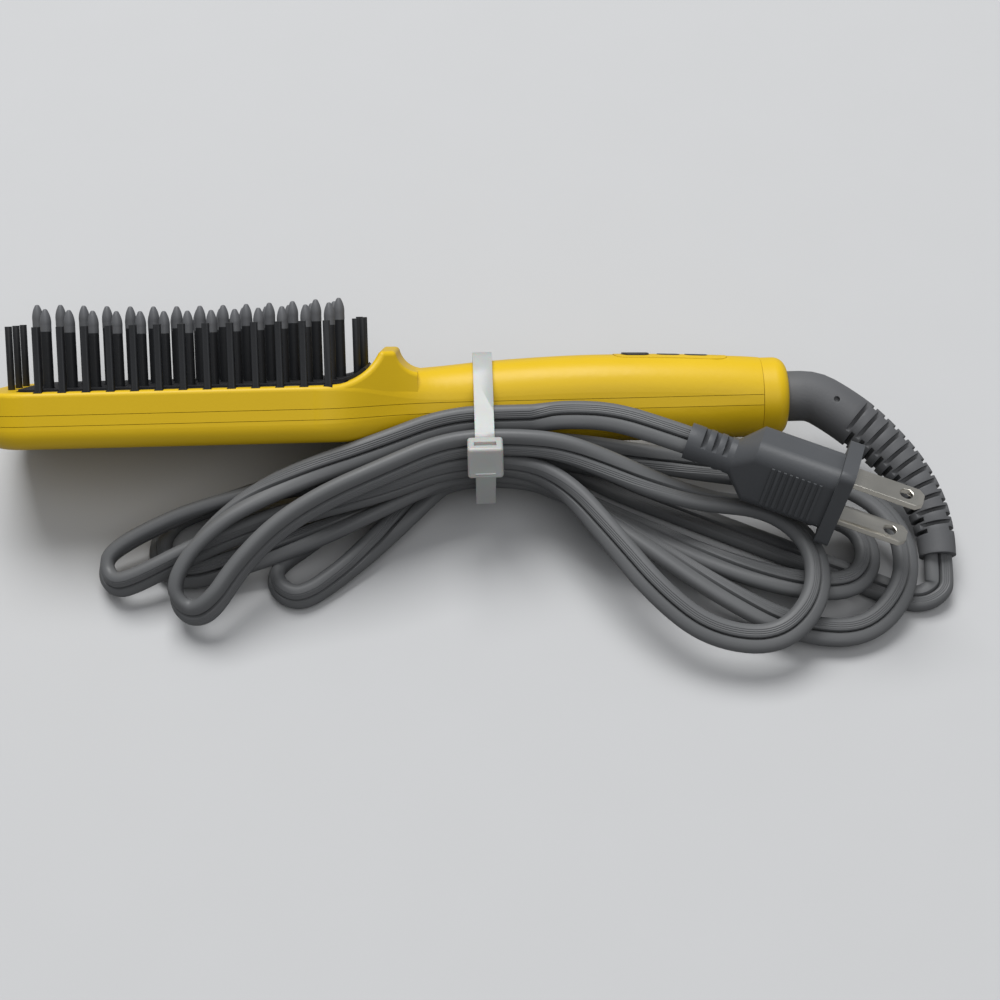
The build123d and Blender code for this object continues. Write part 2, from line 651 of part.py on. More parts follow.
def rear_pins():
    """Short pins behind the teeth, let into the bed's tail."""
    pins = []
    for x, y in REAR_PIN_SPOTS:
        low = slope_point(x + END_PIN_RADIUS)[1] + JOINT_GAP / 2
        pins.append(rod((x, y, low), (0, 0, 1), END_PIN_RADIUS, END_PIN_TOP - low))
    return pins


def body_screws():
    """Four screws from the back into the front shell's bosses."""
    screws = []
    for x, y in BODY_SCREW_SPOTS:
        low = back_at(x) + SCREW_SINK
        high = front_at(x) - WALL - 1.0
        screws.append(
            screw(x, y, low, low + SCREW_HEAD_HEIGHT, high, SCREW_HEAD_RADIUS, SCREW_RADIUS)
        )
    return screws


def screw(x, y, head_low, head_high, shank_high, head_radius, shank_radius):
    """A pan-head screw standing on its head, with a cross recess."""
    head = rod((x, y, head_low), (0, 0, 1), head_radius, head_high - head_low)
    shank = rod((x, y, head_high), (0, 0, 1), shank_radius, shank_high - head_high)
    slot = Pos(x, y, head_low) * Box(1.3 * head_radius, 0.3 * head_radius, 0.5 * (head_high - head_low))
    cross = slot + Pos(x, y, head_low) * Box(0.3 * head_radius, 1.3 * head_radius, 0.5 * (head_high - head_low))
    return head + shank - cross


def wire_run(points, radius, bend):
    """A round wire through points with equal bends."""
    path = FilletPolyline(*points, radius=bend)
    start = Plane(path @ 0, z_dir=path % 0)
    return sweep(start * Circle(radius), path)


def heater_pieces():
    """Heater plate, heater strip, insulation, clamp plate and their screws."""
    reach = CAVITY_HALF_WIDTH - JOINT_GAP
    plate = box_between(
        (CAVITY_FRONT_X + JOINT_GAP, -reach, HEATER_TOP), (CAVITY_END_X - JOINT_GAP, reach, PLATE_TOP)
    )
    plate = fillet(plate.edges().filter_by(Axis.Z).group_by(Axis.X)[0], CAVITY_CORNER)
    strip = box_between((HEATER_FRONT_X, -HEATER_HALF_WIDTH, MICA_TOP), (HEATER_END_X, HEATER_HALF_WIDTH, HEATER_TOP))
    mica = box_between(
        (HEATER_FRONT_X - MICA_MARGIN, -HEATER_HALF_WIDTH - MICA_MARGIN, CLAMP_TOP),
        (HEATER_END_X + MICA_MARGIN, HEATER_HALF_WIDTH + MICA_MARGIN, MICA_TOP),
    )
    clamp = box_between(
        (HEATER_FRONT_X, -CLAMP_HALF_WIDTH, CLAMP_BOTTOM), (HEATER_END_X, CLAMP_HALF_WIDTH, CLAMP_TOP)
    )
    screws = []
    for x in STACK_SCREW_XS:
        for y in (-STACK_SCREW_Y, STACK_SCREW_Y):
            standoff = rod((x, y, CLAMP_TOP), (0, 0, 1), STACK_SCREW_HEAD, HEATER_TOP - CLAMP_TOP)
            plate += standoff
            hole = rod((x, y, CLAMP_BOTTOM - 1), (0, 0, 1), STACK_SCREW_RADIUS, PLATE_TOP - CLAMP_BOTTOM + 0.7)
            plate -= hole
            clamp -= hole
            screws.append(
                screw(
                    x, y, CLAMP_BOTTOM - STACK_SCREW_HEAD_HIGH, CLAMP_BOTTOM, PLATE_TOP - 0.4,
                    STACK_SCREW_HEAD, STACK_SCREW_RADIUS,
                )
            )
    fuse = rod((FUSE_X, 0, CLAMP_BOTTOM - FUSE_RADIUS), (1, 0, 0), FUSE_RADIUS, FUSE_LENGTH)
    bead = Pos(BEAD_X, 0, CLAMP_BOTTOM - BEAD_RADIUS) * Sphere(BEAD_RADIUS)
    return {
        "heater_plate": plate,
        "heating_element": strip,
        "insulation_sheet": mica,
        "clamp_plate": clamp,
        "clamp_screws": Compound(screws),
        "thermal_fuse": fuse,
        "thermistor": bead,
    }


def internal_wires():
    """Leads from the board to the heater, the fuse and the thermistor, and from the swivel."""
    low = CLAMP_BOTTOM - FUSE_RADIUS
    board_z = BOARD_TOP - BOARD_THICK - LEAD_RADIUS - JOINT_GAP
    lane = WIRE_LANE
    fuse_end = FUSE_X + FUSE_LENGTH
    heater_z = HEATER_TOP - HEATER_THICK / 2
    pad_y = HEATER_HALF_WIDTH - 2
    heater_leads = [
        wire_run([(fuse_end, 0, low), (fuse_end + 12, 0, low), (HEAD_SCREW_X, lane, low - 1),
                  (BODY_SCREW_XS[0], 5.0, 0), (BODY_SCREW_XS[1], 5.0, 0),
                  (BOARD_START_X + 6, lane, board_z), (BOARD_START_X + 14, lane, board_z)],
                 LEAD_RADIUS, 3.0),
        wire_run([(HEATER_END_X, -pad_y, heater_z), (CAVITY_END_X - 4, -pad_y, heater_z),
                  (HEAD_SCREW_X, -lane, low - 1), (BODY_SCREW_XS[0], -5.0, 0), (BODY_SCREW_XS[1], -5.0, 0),
                  (BOARD_START_X + 6, -lane, board_z), (BOARD_START_X + 14, -lane, board_z)],
                 LEAD_RADIUS, 2.0),
    ]
    bead_z = CLAMP_BOTTOM - BEAD_RADIUS
    sensor_lead = wire_run(
        [(BEAD_X + BEAD_RADIUS, 0, bead_z), (BEAD_X + 4.5, 0, bead_z), (46.0, 3.0, bead_z - 0.1), (56.0, 5.8, bead_z - 0.1),
         (84.0, 5.8, bead_z - 0.1), (HEAD_SCREW_X, 6.6, -2.7), (BODY_SCREW_XS[0], 6.9, 0),
         (BODY_SCREW_XS[1], 6.9, 0), (BOARD_START_X + 6, 5.8, board_z), (BOARD_START_X + 14, 5.8, board_z)],
        LEAD_RADIUS, 2.0)
    carrier_x = swivel_leaf_x() - LEAF_REACH - CARRIER_THICK
    contact_leads = [
        wire_run([(carrier_x, y, -2), (carrier_x - 4, y, -2), (180.0, y, board_z), (175.0, y, board_z)],
                 LEAD_RADIUS, 1.5)
        for y in (-3.4, 3.4)
    ]
    return heater_leads, sensor_lead, contact_leads


def control_pieces():
    """Board, switches, panel, buttons and the light pipe."""
    board = box_between(
        (BOARD_START_X, -BOARD_HALF_WIDTH, BOARD_TOP - BOARD_THICK), (BOARD_END_X, BOARD_HALF_WIDTH, BOARD_TOP)
    )
    switches = []
    pieces = {}
    panel = panel_prism(0, PANEL_FLOOR, GUARD_TOP) & handle_skin(PANEL_PROUD)
    for name, (x, half_long, half_wide, proud) in BUTTONS.items():
        body = Pos(x, 0, BOARD_TOP + SWITCH_HEIGHT / 2) * Box(SWITCH_SIZE, SWITCH_SIZE, SWITCH_HEIGHT)
        plunger = rod((x, 0, BOARD_TOP + SWITCH_HEIGHT), (0, 0, 1), PLUNGER_RADIUS, PLUNGER_HEIGHT)
        switches.append(body + plunger)
        flange_top = PANEL_FLOOR - PANEL_LEDGE - BUTTON_REST_GAP
        cap = button_prism(name, 0, flange_top, GUARD_TOP) & handle_skin(PANEL_PROUD + proud)
        flange = button_prism(name, BUTTON_FLANGE - BUTTON_GAP, flange_top - BUTTON_FLANGE_THICK, flange_top)
        stem_low = BOARD_TOP + SWITCH_HEIGHT + PLUNGER_HEIGHT + BUTTON_TRAVEL + BUTTON_REST_GAP
        stem = rod((x, 0, stem_low), (0, 0, 1), BUTTON_STEM_RADIUS, flange_top - stem_low)
        pieces[name] = cap + flange + stem
        panel -= button_prism(name, BUTTON_GAP, PANEL_FLOOR - 1, GUARD_TOP)
    panel -= rod((LIGHT_X, 0, PANEL_FLOOR - 1), (0, 0, 1), LIGHT_RADIUS + JOINT_GAP, GUARD_TOP)
    light_top = front_at(LIGHT_X) + PANEL_PROUD
    pieces["indicator_light"] = rod((LIGHT_X, 0, BOARD_TOP), (0, 0, 1), LIGHT_RADIUS, light_top - BOARD_TOP)
    pieces["button_panel"] = panel
    pieces["control_board"] = board
    pieces["tact_switches"] = Compound(switches)
    return pieces


def handle_skin(raised):
    """The handle's outer form with its top raised, which gives the panel and the keys their crown."""
    rows = [(x, half, top + raised, bottom, top_round, bottom_round)
            for x, half, top, bottom, top_round, bottom_round in BODY_SECTIONS[4:]]
    return loft([rounded_section(*row) for row in rows])


def swivel_leaf_x():
    """Where the contact springs start to touch the swivel's pin."""
    room_end = SHELL_LENGTH + COLLAR_LENGTH - COLLAR_END_WALL
    return room_end - WASHER_THICK - FLANGE_PLAY - BARREL_FLANGE_THICK - PIN_REACH


def swivel_pieces():
    """End collar, swivel barrel, washer, contact pin and contact springs."""
    end = SHELL_LENGTH + COLLAR_LENGTH
    ring = rod((SHELL_LENGTH + JOINT_GAP, 0, 0), (1, 0, 0), COLLAR_RADIUS, COLLAR_LENGTH - JOINT_GAP)
    rim = ring.edges().filter_by(GeomType.CIRCLE).group_by(Axis.X)[-1]
    ring = fillet(rim, COLLAR_DOME)
    spigot = rod((SHELL_LENGTH - COLLAR_SPIGOT, 0, 0), (1, 0, 0), COLLAR_RADIUS - WALL - JOINT_GAP, COLLAR_SPIGOT + 1)
    room_end = end - COLLAR_END_WALL
    room = rod((SHELL_LENGTH - COLLAR_SPIGOT - 1, 0, 0), (1, 0, 0), BARREL_FLANGE_RADIUS + SWIVEL_CLEARANCE,
               room_end - SHELL_LENGTH + COLLAR_SPIGOT + 1)
    bore = rod((end - 2 * COLLAR_END_WALL, 0, 0), (1, 0, 0), BARREL_RADIUS + SWIVEL_CLEARANCE, 3 * COLLAR_END_WALL)
    collar = ring + spigot - room - bore
    washer_start = room_end - WASHER_THICK
    washer = rod((washer_start, 0, 0), (1, 0, 0), BARREL_FLANGE_RADIUS, WASHER_THICK)
    washer -= rod((washer_start, 0, 0), (1, 0, 0), BARREL_RADIUS + SWIVEL_CLEARANCE, WASHER_THICK)
    flange_end = washer_start - FLANGE_PLAY
    flange_start = flange_end - BARREL_FLANGE_THICK
    barrel = rod((flange_start, 0, 0), (1, 0, 0), BARREL_FLANGE_RADIUS, BARREL_FLANGE_THICK)
    barrel += rod((flange_start, 0, 0), (1, 0, 0), BARREL_RADIUS, end + BARREL_PLUG - flange_start)
    pin = rod((flange_start - PIN_REACH, 0, 0), (1, 0, 0), PIN_RADIUS, PIN_REACH)
    ring_contact = rod((flange_start - PIN_REACH / 2, 0, 0), (1, 0, 0), CONTACT_RING_RADIUS, PIN_REACH / 2)
    pin += ring_contact
    leaf_x = swivel_leaf_x()
    leaf_gap = SWIVEL_CLEARANCE
    leaves = []
    for side, reach, x in ((1, PIN_RADIUS, leaf_x + 0.3), (-1, CONTACT_RING_RADIUS, leaf_x + PIN_REACH / 2 + 0.3)):
        low = side * (reach + leaf_gap)
        zs = sorted((low, low + side * SPRING_THICK))
        leaves.append(box_between((leaf_x - LEAF_REACH, -LEAF_HALF_WIDTH, zs[0]), (x + 1.4, LEAF_HALF_WIDTH, zs[1])))
    carrier = box_between(
        (leaf_x - LEAF_REACH - CARRIER_THICK, -CARRIER_HALF_WIDTH, -CARRIER_HALF_HEIGHT),
        (leaf_x - LEAF_REACH, CARRIER_HALF_WIDTH, BOARD_TOP - BOARD_THICK - JOINT_GAP),
    )
    return {
        "end_collar": collar,
        "swivel_washer": washer,
        "swivel_barrel": barrel,
        "contact_pin": pin,
        "contact_springs": Compound(leaves),
        "contact_carrier": carrier,
    }


def waist_spot(layer, column, axis_y, axis_z):
    """Where one strand of the hank passes the tie, beside the handle."""
    angle = math.radians((INNER_STRANDS if layer == "inner" else OUTER_STRANDS)[column])
    reach = STRAND_RADIUS if layer == "inner" else STRAND_RADIUS + STRAND_STEP
    return (axis_y + reach * math.cos(angle), axis_z + reach * math.sin(angle))


def loop_points(row, side, tie_x, axis_y, axis_z):
    """One loop of the hank: out from one strand, round a half circle and back to the next."""
    leave, back, centre_x, centre_y, radius, heading, heights, hold_tie, hold_end, leave_side = row
    base_x = tie_x + side * WAIST_HALF
    along = (math.cos(math.radians(heading)), math.sin(math.radians(heading)))
    points = []

    def side_run(strand, end_side, height, shares):
        """Points of one straight side, a cubic curve from the tie to the round end."""
        start_y, start_z = strand
        across = (-along[1] * end_side, along[0] * end_side)
        end = (centre_x + radius * across[0], centre_y + radius * across[1])
        lean = LEFT_LEAN if side < 0 else 0.0
        knee = (base_x + side * hold_tie, start_y - lean * hold_tie)
        hip = (end[0] - hold_end * along[0], end[1] - hold_end * along[1])
        for share in shares:
            rest = 1 - share
            weights = (rest ** 3, 3 * rest ** 2 * share, 3 * rest * share ** 2, share ** 3)
            x = weights[0] * base_x + weights[1] * knee[0] + weights[2] * hip[0] + weights[3] * end[0]
            y = weights[0] * start_y + weights[1] * knee[1] + weights[2] * hip[1] + weights[3] * end[1]
            points.append((x, y, height + (start_z - height) * (1 - share ** FALL_POWER)))

    side_run(waist_spot(*leave, axis_y, axis_z), leave_side, heights[0], SIDE_SHARES)
    reach = radius / math.cos(math.pi / 8)
    for share in END_SHARES:
        turn = math.pi * share
        forward = math.sin(turn)
        across = leave_side * math.cos(turn)
        if share < 0.5:
            height = heights[0] + (heights[1] - heights[0]) * 2 * share
        else:
            height = heights[1] + (heights[2] - heights[1]) * (2 * share - 1)
        points.append((
            centre_x + reach * (forward * along[0] - across * along[1]),
            centre_y + reach * (forward * along[1] + across * along[0]),
            height,
        ))
    side_run(waist_spot(*back, axis_y, axis_z), -leave_side, heights[2], reversed(SIDE_SHARES))
    return points


def hank_route(tie_x, axis_y, axis_z):
    """The whole hank, pass by pass through the tie."""
    route = []
    for index, left in enumerate(LEFT_LOOPS):
        leave = waist_spot(*left[0], axis_y, axis_z)
        back = waist_spot(*left[1], axis_y, axis_z)
        route += [(tie_x + WAIST_HALF, *leave), (tie_x - WAIST_HALF, *leave)]
        route += loop_points(left, -1, tie_x, axis_y, axis_z)
        route += [(tie_x - WAIST_HALF, *back), (tie_x + WAIST_HALF, *back)]
        if index < len(RIGHT_LOOPS):
            route += loop_points(RIGHT_LOOPS[index], 1, tie_x, axis_y, axis_z)
    return route


def bend_radii(points):
    """Radius at each corner: 0.45 of the shorter run over the tangent of half the turn."""
    radii = []
    for before, corner, after in zip(points, points[1:], points[2:]):
        run_in = Vector(*corner) - Vector(*before)
        run_out = Vector(*after) - Vector(*corner)
        half_turn = math.radians(run_in.get_angle(run_out)) / 2
        radii.append(0.45 * min(run_in.length, run_out.length) / math.tan(half_turn))
    return radii


def cord_path(points):
    """Straight runs joined by tangent arcs through the route's points."""
    return FilletPolyline(*points, radius=bend_radii(points))


def cord_tube(name, points):
    """A cord along its route, with its bends and volume printed."""
    path = cord_path(points)
    start = Plane(path @ 0, z_dir=path % 0)
    tube = sweep(start * Circle(CORD_TUBE / 2), path)
    expected = math.pi * CORD_TUBE ** 2 / 4 * path.length
    print(name, "length", round(path.length, 1), "tightest bend", round(min(bend_radii(points)), 1),
          "volume over section times length", round(tube.volume / expected, 4))
    return tube, path


def least_gap(paths):
    """Least gap between stretches of the cord, on points along its centre line."""
    points = []
    travelled = 0.0
    for path in paths:
        for edge in path.edges():
            count = max(1, math.ceil(edge.length / 1.5))
            for i in range(count):
                spot = edge @ (i / count)
                points.append((spot.X, spot.Y, spot.Z, travelled + edge.length * i / count))
            travelled += edge.length
    least = 99.0
    for i, (ax, ay, az, along) in enumerate(points):
        for bx, by, bz, other in points[i + 1:]:
            if other - along > LEAST_SPACING_APART:
                apart = math.sqrt((ax - bx) ** 2 + (ay - by) ** 2 + (az - bz) ** 2)
                least = min(least, apart)
    return least - CORD_TUBE


def relief_stations():
    """Points along the elbow and relief: distance, reach along X, reach along its heading, turn."""
    runs = [
        (ELBOW_RUN, 0.0),
        (math.radians(ELBOW_TURN) * ELBOW_BEND, ELBOW_TURN),
        (math.radians(RELIEF_FIRST_TURN) * RELIEF_FIRST_BEND, RELIEF_FIRST_TURN),
        (math.radians(RELIEF_SECOND_TURN) * RELIEF_SECOND_BEND, RELIEF_SECOND_TURN),
        (RELIEF_LAST_RUN, 0.0),
    ]
    stations = [(0.0, SHELL_LENGTH + COLLAR_LENGTH, 0.0, 0.0)]
    for length, turn in runs:
        steps = max(1, round(length / 2.0))
        for _ in range(steps):
            distance, along, out, angle = stations[-1]
            step = length / steps
            middle = math.radians(angle + turn / steps / 2)
            stations.append(
                (distance + step, along + step * math.cos(middle), out + step * math.sin(middle), angle + turn / steps)
            )
    return stations


def relief_frame(distance):
    """The plane across the relief at a distance along it, facing along it."""
    heading = math.radians(RELIEF_HEADING - LIE_ROLL)
    stations = relief_stations()
    for before, after in zip(stations, stations[1:]):
        if before[0] <= distance <= after[0]:
            share = (distance - before[0]) / (after[0] - before[0])
            _, along, out, angle = [a + share * (b - a) for a, b in zip(before, after)]
    turn = math.radians(angle)
    centre = (along, out * math.cos(heading), out * math.sin(heading))
    forward = (math.cos(turn), math.sin(turn) * math.cos(heading), math.sin(turn) * math.sin(heading))
    return Plane(centre, x_dir=(0, -math.sin(heading), math.cos(heading)), z_dir=forward)


def relief_radius(distance):
    """Radius of the relief, the same round the elbow and then tapered to its mouth."""
    length = relief_stations()[-1][0]
    share = max(0.0, (distance - RELIEF_SLOT_START) / (length - RELIEF_SLOT_START))
    return ELBOW_RADIUS + (RELIEF_END_RADIUS - ELBOW_RADIUS) * share


def strain_relief():
    """Elbow and slotted relief in one moulding, bored for the swivel's barrel and for the cord."""
    distances = [row[0] for row in relief_stations()]
    rings = [relief_frame(d) * Circle(relief_radius(d)) for d in distances]
    body = loft(rings, ruled=True)
    body -= rod((SHELL_LENGTH + COLLAR_LENGTH - 1, 0, 0), (1, 0, 0), BARREL_RADIUS, BARREL_PLUG + 1)
    pitch = (RELIEF_SLOT_END - RELIEF_SLOT_START) / (RELIEF_SLOTS - 1)
    for i in range(RELIEF_SLOTS):
        distance = RELIEF_SLOT_START + i * pitch
        radius = relief_radius(distance)
        for side in (-1, 1):
            middle = side * (radius - RELIEF_SLOT_DEPTH + radius)
            spot = (middle, 0, 0) if i % 2 == 0 else (0, middle, 0)
            size = (2 * radius, 2 * radius, RELIEF_SLOT_WIDTH)
            body -= relief_frame(distance) * Pos(*spot) * Box(*size)
    mouth = relief_frame(distances[-1])
    body -= mouth * Cylinder(MATE_RADIUS, 2 * MATE_DEPTH)
    dimple = relief_frame(RELIEF_DIMPLE_SPOT)
    body -= dimple * Pos(-ELBOW_RADIUS, 0, 0) * Rot(0, 90, 0) * Cylinder(RELIEF_DIMPLE_RADIUS, 2 * RELIEF_DIMPLE_DEPTH)
    return body


def plug_frame():
    """The plug's own frame in the lying frame."""
    axis = Vector(*PLUG_AXIS).normalized()
    up = Vector(*PLUG_UP)
    up = (up - axis * up.dot(axis)).normalized()
    return Plane(PLUG_FACE_SPOT, x_dir=axis, z_dir=up)


def plug_section(x, wide, high, corner):
    """A rounded outline across the plug at its own x."""
    return Plane((x, 0, 0), x_dir=(0, 1, 0), z_dir=(1, 0, 0)) * RectangleRounded(wide, high, corner)


def plug_pieces():
    """Moulded plug body and its two blades, in the plug's own frame."""
    flange = extrude(plug_section(-PLUG_FLANGE_LENGTH, PLUG_FLANGE_WIDE, PLUG_FLANGE_HIGH, PLUG_FLANGE_ROUND),
                     PLUG_FLANGE_LENGTH)
    waist = extrude(plug_section(-PLUG_WAIST_START, PLUG_WAIST_WIDE, PLUG_WAIST_HIGH, PLUG_WAIST_ROUND),
                    PLUG_WAIST_START - PLUG_FLANGE_LENGTH)
    neck_size = 2 * PLUG_NECK_RADIUS
    shoulder = loft([
        plug_section(-PLUG_NECK_START, neck_size, neck_size, PLUG_NECK_RADIUS - 0.1),
        plug_section(-PLUG_WAIST_START, PLUG_WAIST_WIDE, PLUG_WAIST_HIGH, PLUG_WAIST_ROUND),
    ])
    neck = rod((-PLUG_LENGTH, 0, 0), (1, 0, 0), PLUG_NECK_RADIUS, PLUG_LENGTH - PLUG_NECK_START + 0.5)
    body = flange + waist + shoulder + neck
    for back in PLUG_NECK_SLOTS:
        for side in (-1, 1):
            middle = side * (2 * PLUG_NECK_RADIUS - PLUG_SLOT_DEPTH)
            body -= Pos(-back, 0, middle) * Box(PLUG_SLOT_WIDTH, 4 * PLUG_NECK_RADIUS, 2 * PLUG_NECK_RADIUS)
    for i in range(PLUG_RIBS):
        x = PLUG_RIB_X + (i - (PLUG_RIBS - 1) / 2) * PLUG_RIB_PITCH
        for side in (-1, 1):
            y = side * PLUG_WAIST_WIDE / 2
            body += Pos(x, y, 0) * Box(PLUG_RIB_WIDTH, 2 * PLUG_RIB_HIGH, PLUG_RIB_LENGTH)
    body -= rod((-PLUG_LENGTH - 1, 0, 0), (1, 0, 0), MATE_RADIUS, MATE_DEPTH + 1)
    blades = []
    for side in (-1, 1):
        z = side * BLADE_SPACING / 2
        blade = Pos((BLADE_LENGTH - BLADE_ROOT) / 2, 0, z) * Box(BLADE_LENGTH + BLADE_ROOT, BLADE_WIDTH, BLADE_THICK)
        body -= blade
        corners = blade.edges().filter_by(Axis.Z).group_by(Axis.X)[-1]
        blade = chamfer(corners, BLADE_CHAMFER)
        hole_x = BLADE_LENGTH - BLADE_HOLE_INSET
        blade -= Pos(hole_x, 0, z) * Cylinder(BLADE_HOLE_RADIUS, 2 * BLADE_THICK)
        blades.append(blade)
    return body, blades


def cable_tie(tie_x, axis_y, axis_z):
    """A nylon strap round the handle and all the strands, with its locking head and its tail."""
    across = Plane((tie_x, 0, 0), x_dir=(0, 1, 0), z_dir=(1, 0, 0))
    circles = [Pos(axis_y, axis_z) * Circle(TIE_HANDLE_RADIUS)]
    for layer in ("inner", "outer"):
        for column in range(len(INNER_STRANDS)):
            circles.append(Pos(*waist_spot(layer, column, axis_y, axis_z)) * Circle(TIE_STRAND_RADIUS))
    inside = make_hull([c.edge() for c in circles])
    outside = offset(inside, TIE_THICK)
    strap = extrude(across * (outside - inside), TIE_WIDTH / 2, both=True)
    angle = math.radians(TIE_HEAD_ANGLE)
    reach = STRAND_RADIUS + STRAND_STEP + TIE_STRAND_RADIUS + TIE_THICK / 2 + TIE_HEAD[1] / 2
    spot = (tie_x, axis_y + reach * math.cos(angle), axis_z + reach * math.sin(angle))
    turn = Rot(TIE_HEAD_ANGLE - 180, 0, 0)
    head = Pos(*spot) * turn * fillet(Box(*TIE_HEAD).edges(), 0.8)
    gate = Pos(*spot) * turn * Pos(0, -0.4, TIE_HEAD[2] / 2) * Box(TIE_WIDTH + 0.6, TIE_THICK + 0.6, 2.0)
    tail_y = -TIE_HEAD[1] / 2 + TIE_THICK
    tail = Pos(*spot) * turn * Pos(0, tail_y, -TIE_HEAD[2] / 2) * Rot(180 - TIE_HEAD_ANGLE + TIE_TAIL_LEAN, 0, 0)
    tail = tail * Pos(0, 0, -TIE_TAIL / 2 + 1) * Box(TIE_WIDTH, TIE_THICK, TIE_TAIL + 2)
    return strap + (head - gate) + tail


def mated_start(plane, depth, run):
    """Two points that lead a cord straight out of a recess along the plane's normal."""
    out = plane.z_dir
    first = plane.origin - out * depth
    return [(first.X, first.Y, first.Z), tuple(plane.origin + out * run)]


def brush_nodes():
    """Every piece of the brush in its own frame, without the cord, the plug and the tie."""
    front, back, band = body_shells()
    heater_leads, sensor_lead, contact_leads = internal_wires()
    nodes = {
        "front_shell": front,
        "back_shell": back,
        "seam_band": band,
        "bristle_bed": bristle_bed(),
        "side_bars_near": side_bars(-1),
        "side_bars_far": side_bars(1),
        "front_pins": Compound(front_pins()),
        "rear_pins": Compound(rear_pins()),
        "body_screws": Compound(body_screws()),
        "heater_wires": Compound(heater_leads),
        "thermistor_wire": sensor_lead,
        "contact_wires": Compound(contact_leads),
        "strain_relief": strain_relief(),
    }
    for name, (y, middle_row) in TOOTH_ROWS.items():
        nodes[name] = heated_comb(y, middle_row)
        tips = [cool_tip(x, y, middle_row) for x in tooth_xs(middle_row)]
        nodes[name.replace("heated_comb", "cool_tips")] = Compound(tips)
    nodes.update(heater_pieces())
    nodes.update(control_pieces())
    nodes.update(swivel_pieces())
    return nodes


def lying_nodes():
    """Every piece where it lies: the brush on its side, with the cord, the plug and the tie."""
    lie = Pos(*LIE_AXIS) * Rot(LIE_ROLL, 0, 0)
    nodes = {name: lie * shape for name, shape in brush_nodes().items()}
    tie_x = TIE_X + LIE_AXIS[0]
    route = hank_route(tie_x, LIE_AXIS[1], LIE_AXIS[2])
    mouth = Plane(lie * relief_frame(relief_stations()[-1][0]).location)
    lead_end = (route[0][0] + JOIN_RUN, *route[0][1:])
    lead = mated_start(mouth, MATE_DEPTH, LEAD_START_RUN) + LEAD_ROUTE + [lead_end, route[0]]
    plug = plug_frame()
    rear = Plane(plug.origin - plug.x_dir * (PLUG_LENGTH - MATE_DEPTH), z_dir=plug.x_dir * -1)
    into_plug = mated_start(rear, 0.0, MATE_DEPTH + LEAD_START_RUN)
    plug_start = (route[-1][0] + JOIN_RUN, *route[-1][1:])
    plug_run = [route[-1], plug_start] + PLUG_ROUTE + into_plug[::-1]
    lead_tube, lead_path = cord_tube("lead", lead)
    bend_end = Plane(LEAD_BEND_END, z_dir=LEAD_BEND_DIRECTION)
    nodes["cord_lead"] = split(lead_tube, bisect_by=bend_end, keep=Keep.BOTTOM)
    nodes["lead_run"] = split(lead_tube, bisect_by=bend_end, keep=Keep.TOP)
    nodes["cord_hank"], hank_path = cord_tube("hank", route)
    nodes["plug_cord"], plug_path = cord_tube("plug cord", plug_run)
    print("least gap of the cord to itself", round(least_gap([lead_path, hank_path, plug_path]), 2))
    print("whole cord", round(lead_path.length + hank_path.length + plug_path.length, 1))
    body, blades = plug_pieces()
    nodes["plug_body"] = plug.location * body
    nodes["plug_blades"] = plug.location * Compound(blades)
    nodes["cable_tie"] = cable_tie(tie_x, LIE_AXIS[1], LIE_AXIS[2])
    return nodes


CORD_NODES = ("cord_lead", "lead_run", "cord_hank", "plug_cord", "plug_body", "plug_blades", "strain_relief")


def main():
    """Build every node, centre the part on the origin and write one STEP file per node."""
    nodes = lying_nodes()
    boxes = [shape.bounding_box() for name, shape in nodes.items() if name not in CORD_NODES]
    low = [min(getattr(box.min, axis) for box in boxes) for axis in "XYZ"]
    high = [max(getattr(box.max, axis) for box in boxes) for axis in "XYZ"]
    settle = Pos(-(low[0] + high[0]) / 2, -(low[1] + high[1]) / 2, -low[2])
    print("settled by", [round(v, 3) for v in settle.position])
    os.makedirs("parts", exist_ok=True)
    for name, shape in nodes.items():
        export_step(settle * shape, f"parts/{name}.step")


main()
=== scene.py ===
import json
import math
import bmesh
import bpy
from mathutils import Matrix, Vector


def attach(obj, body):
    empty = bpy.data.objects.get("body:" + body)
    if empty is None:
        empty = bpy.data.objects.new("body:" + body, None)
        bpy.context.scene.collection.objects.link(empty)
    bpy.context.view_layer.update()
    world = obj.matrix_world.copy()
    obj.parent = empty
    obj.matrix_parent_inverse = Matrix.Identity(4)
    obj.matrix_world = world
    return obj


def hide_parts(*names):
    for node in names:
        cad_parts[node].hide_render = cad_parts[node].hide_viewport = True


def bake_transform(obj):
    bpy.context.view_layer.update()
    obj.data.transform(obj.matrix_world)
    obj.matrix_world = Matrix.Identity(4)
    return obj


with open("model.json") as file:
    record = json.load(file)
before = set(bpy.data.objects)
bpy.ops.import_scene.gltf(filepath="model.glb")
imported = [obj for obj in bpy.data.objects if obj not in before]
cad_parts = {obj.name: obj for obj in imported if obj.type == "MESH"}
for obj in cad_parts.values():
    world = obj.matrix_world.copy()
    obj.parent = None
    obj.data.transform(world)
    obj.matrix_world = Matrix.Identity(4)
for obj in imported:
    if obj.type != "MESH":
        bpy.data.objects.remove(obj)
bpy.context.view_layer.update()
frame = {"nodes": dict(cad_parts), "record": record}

# Heated straightening brush on a pale table, its twin cord tied in a hank beside the handle.
# The cord's route is in millimetres of the part's own drawing until placed() turns it to metres.
# SETTLE is how far the drawing was shifted when the part came to rest on the table.

nodes = frame["nodes"]
MM = 0.001
UP = Vector((0, 0, 1))
SETTLE = Vector((-1.6, 4.846, 0.092))

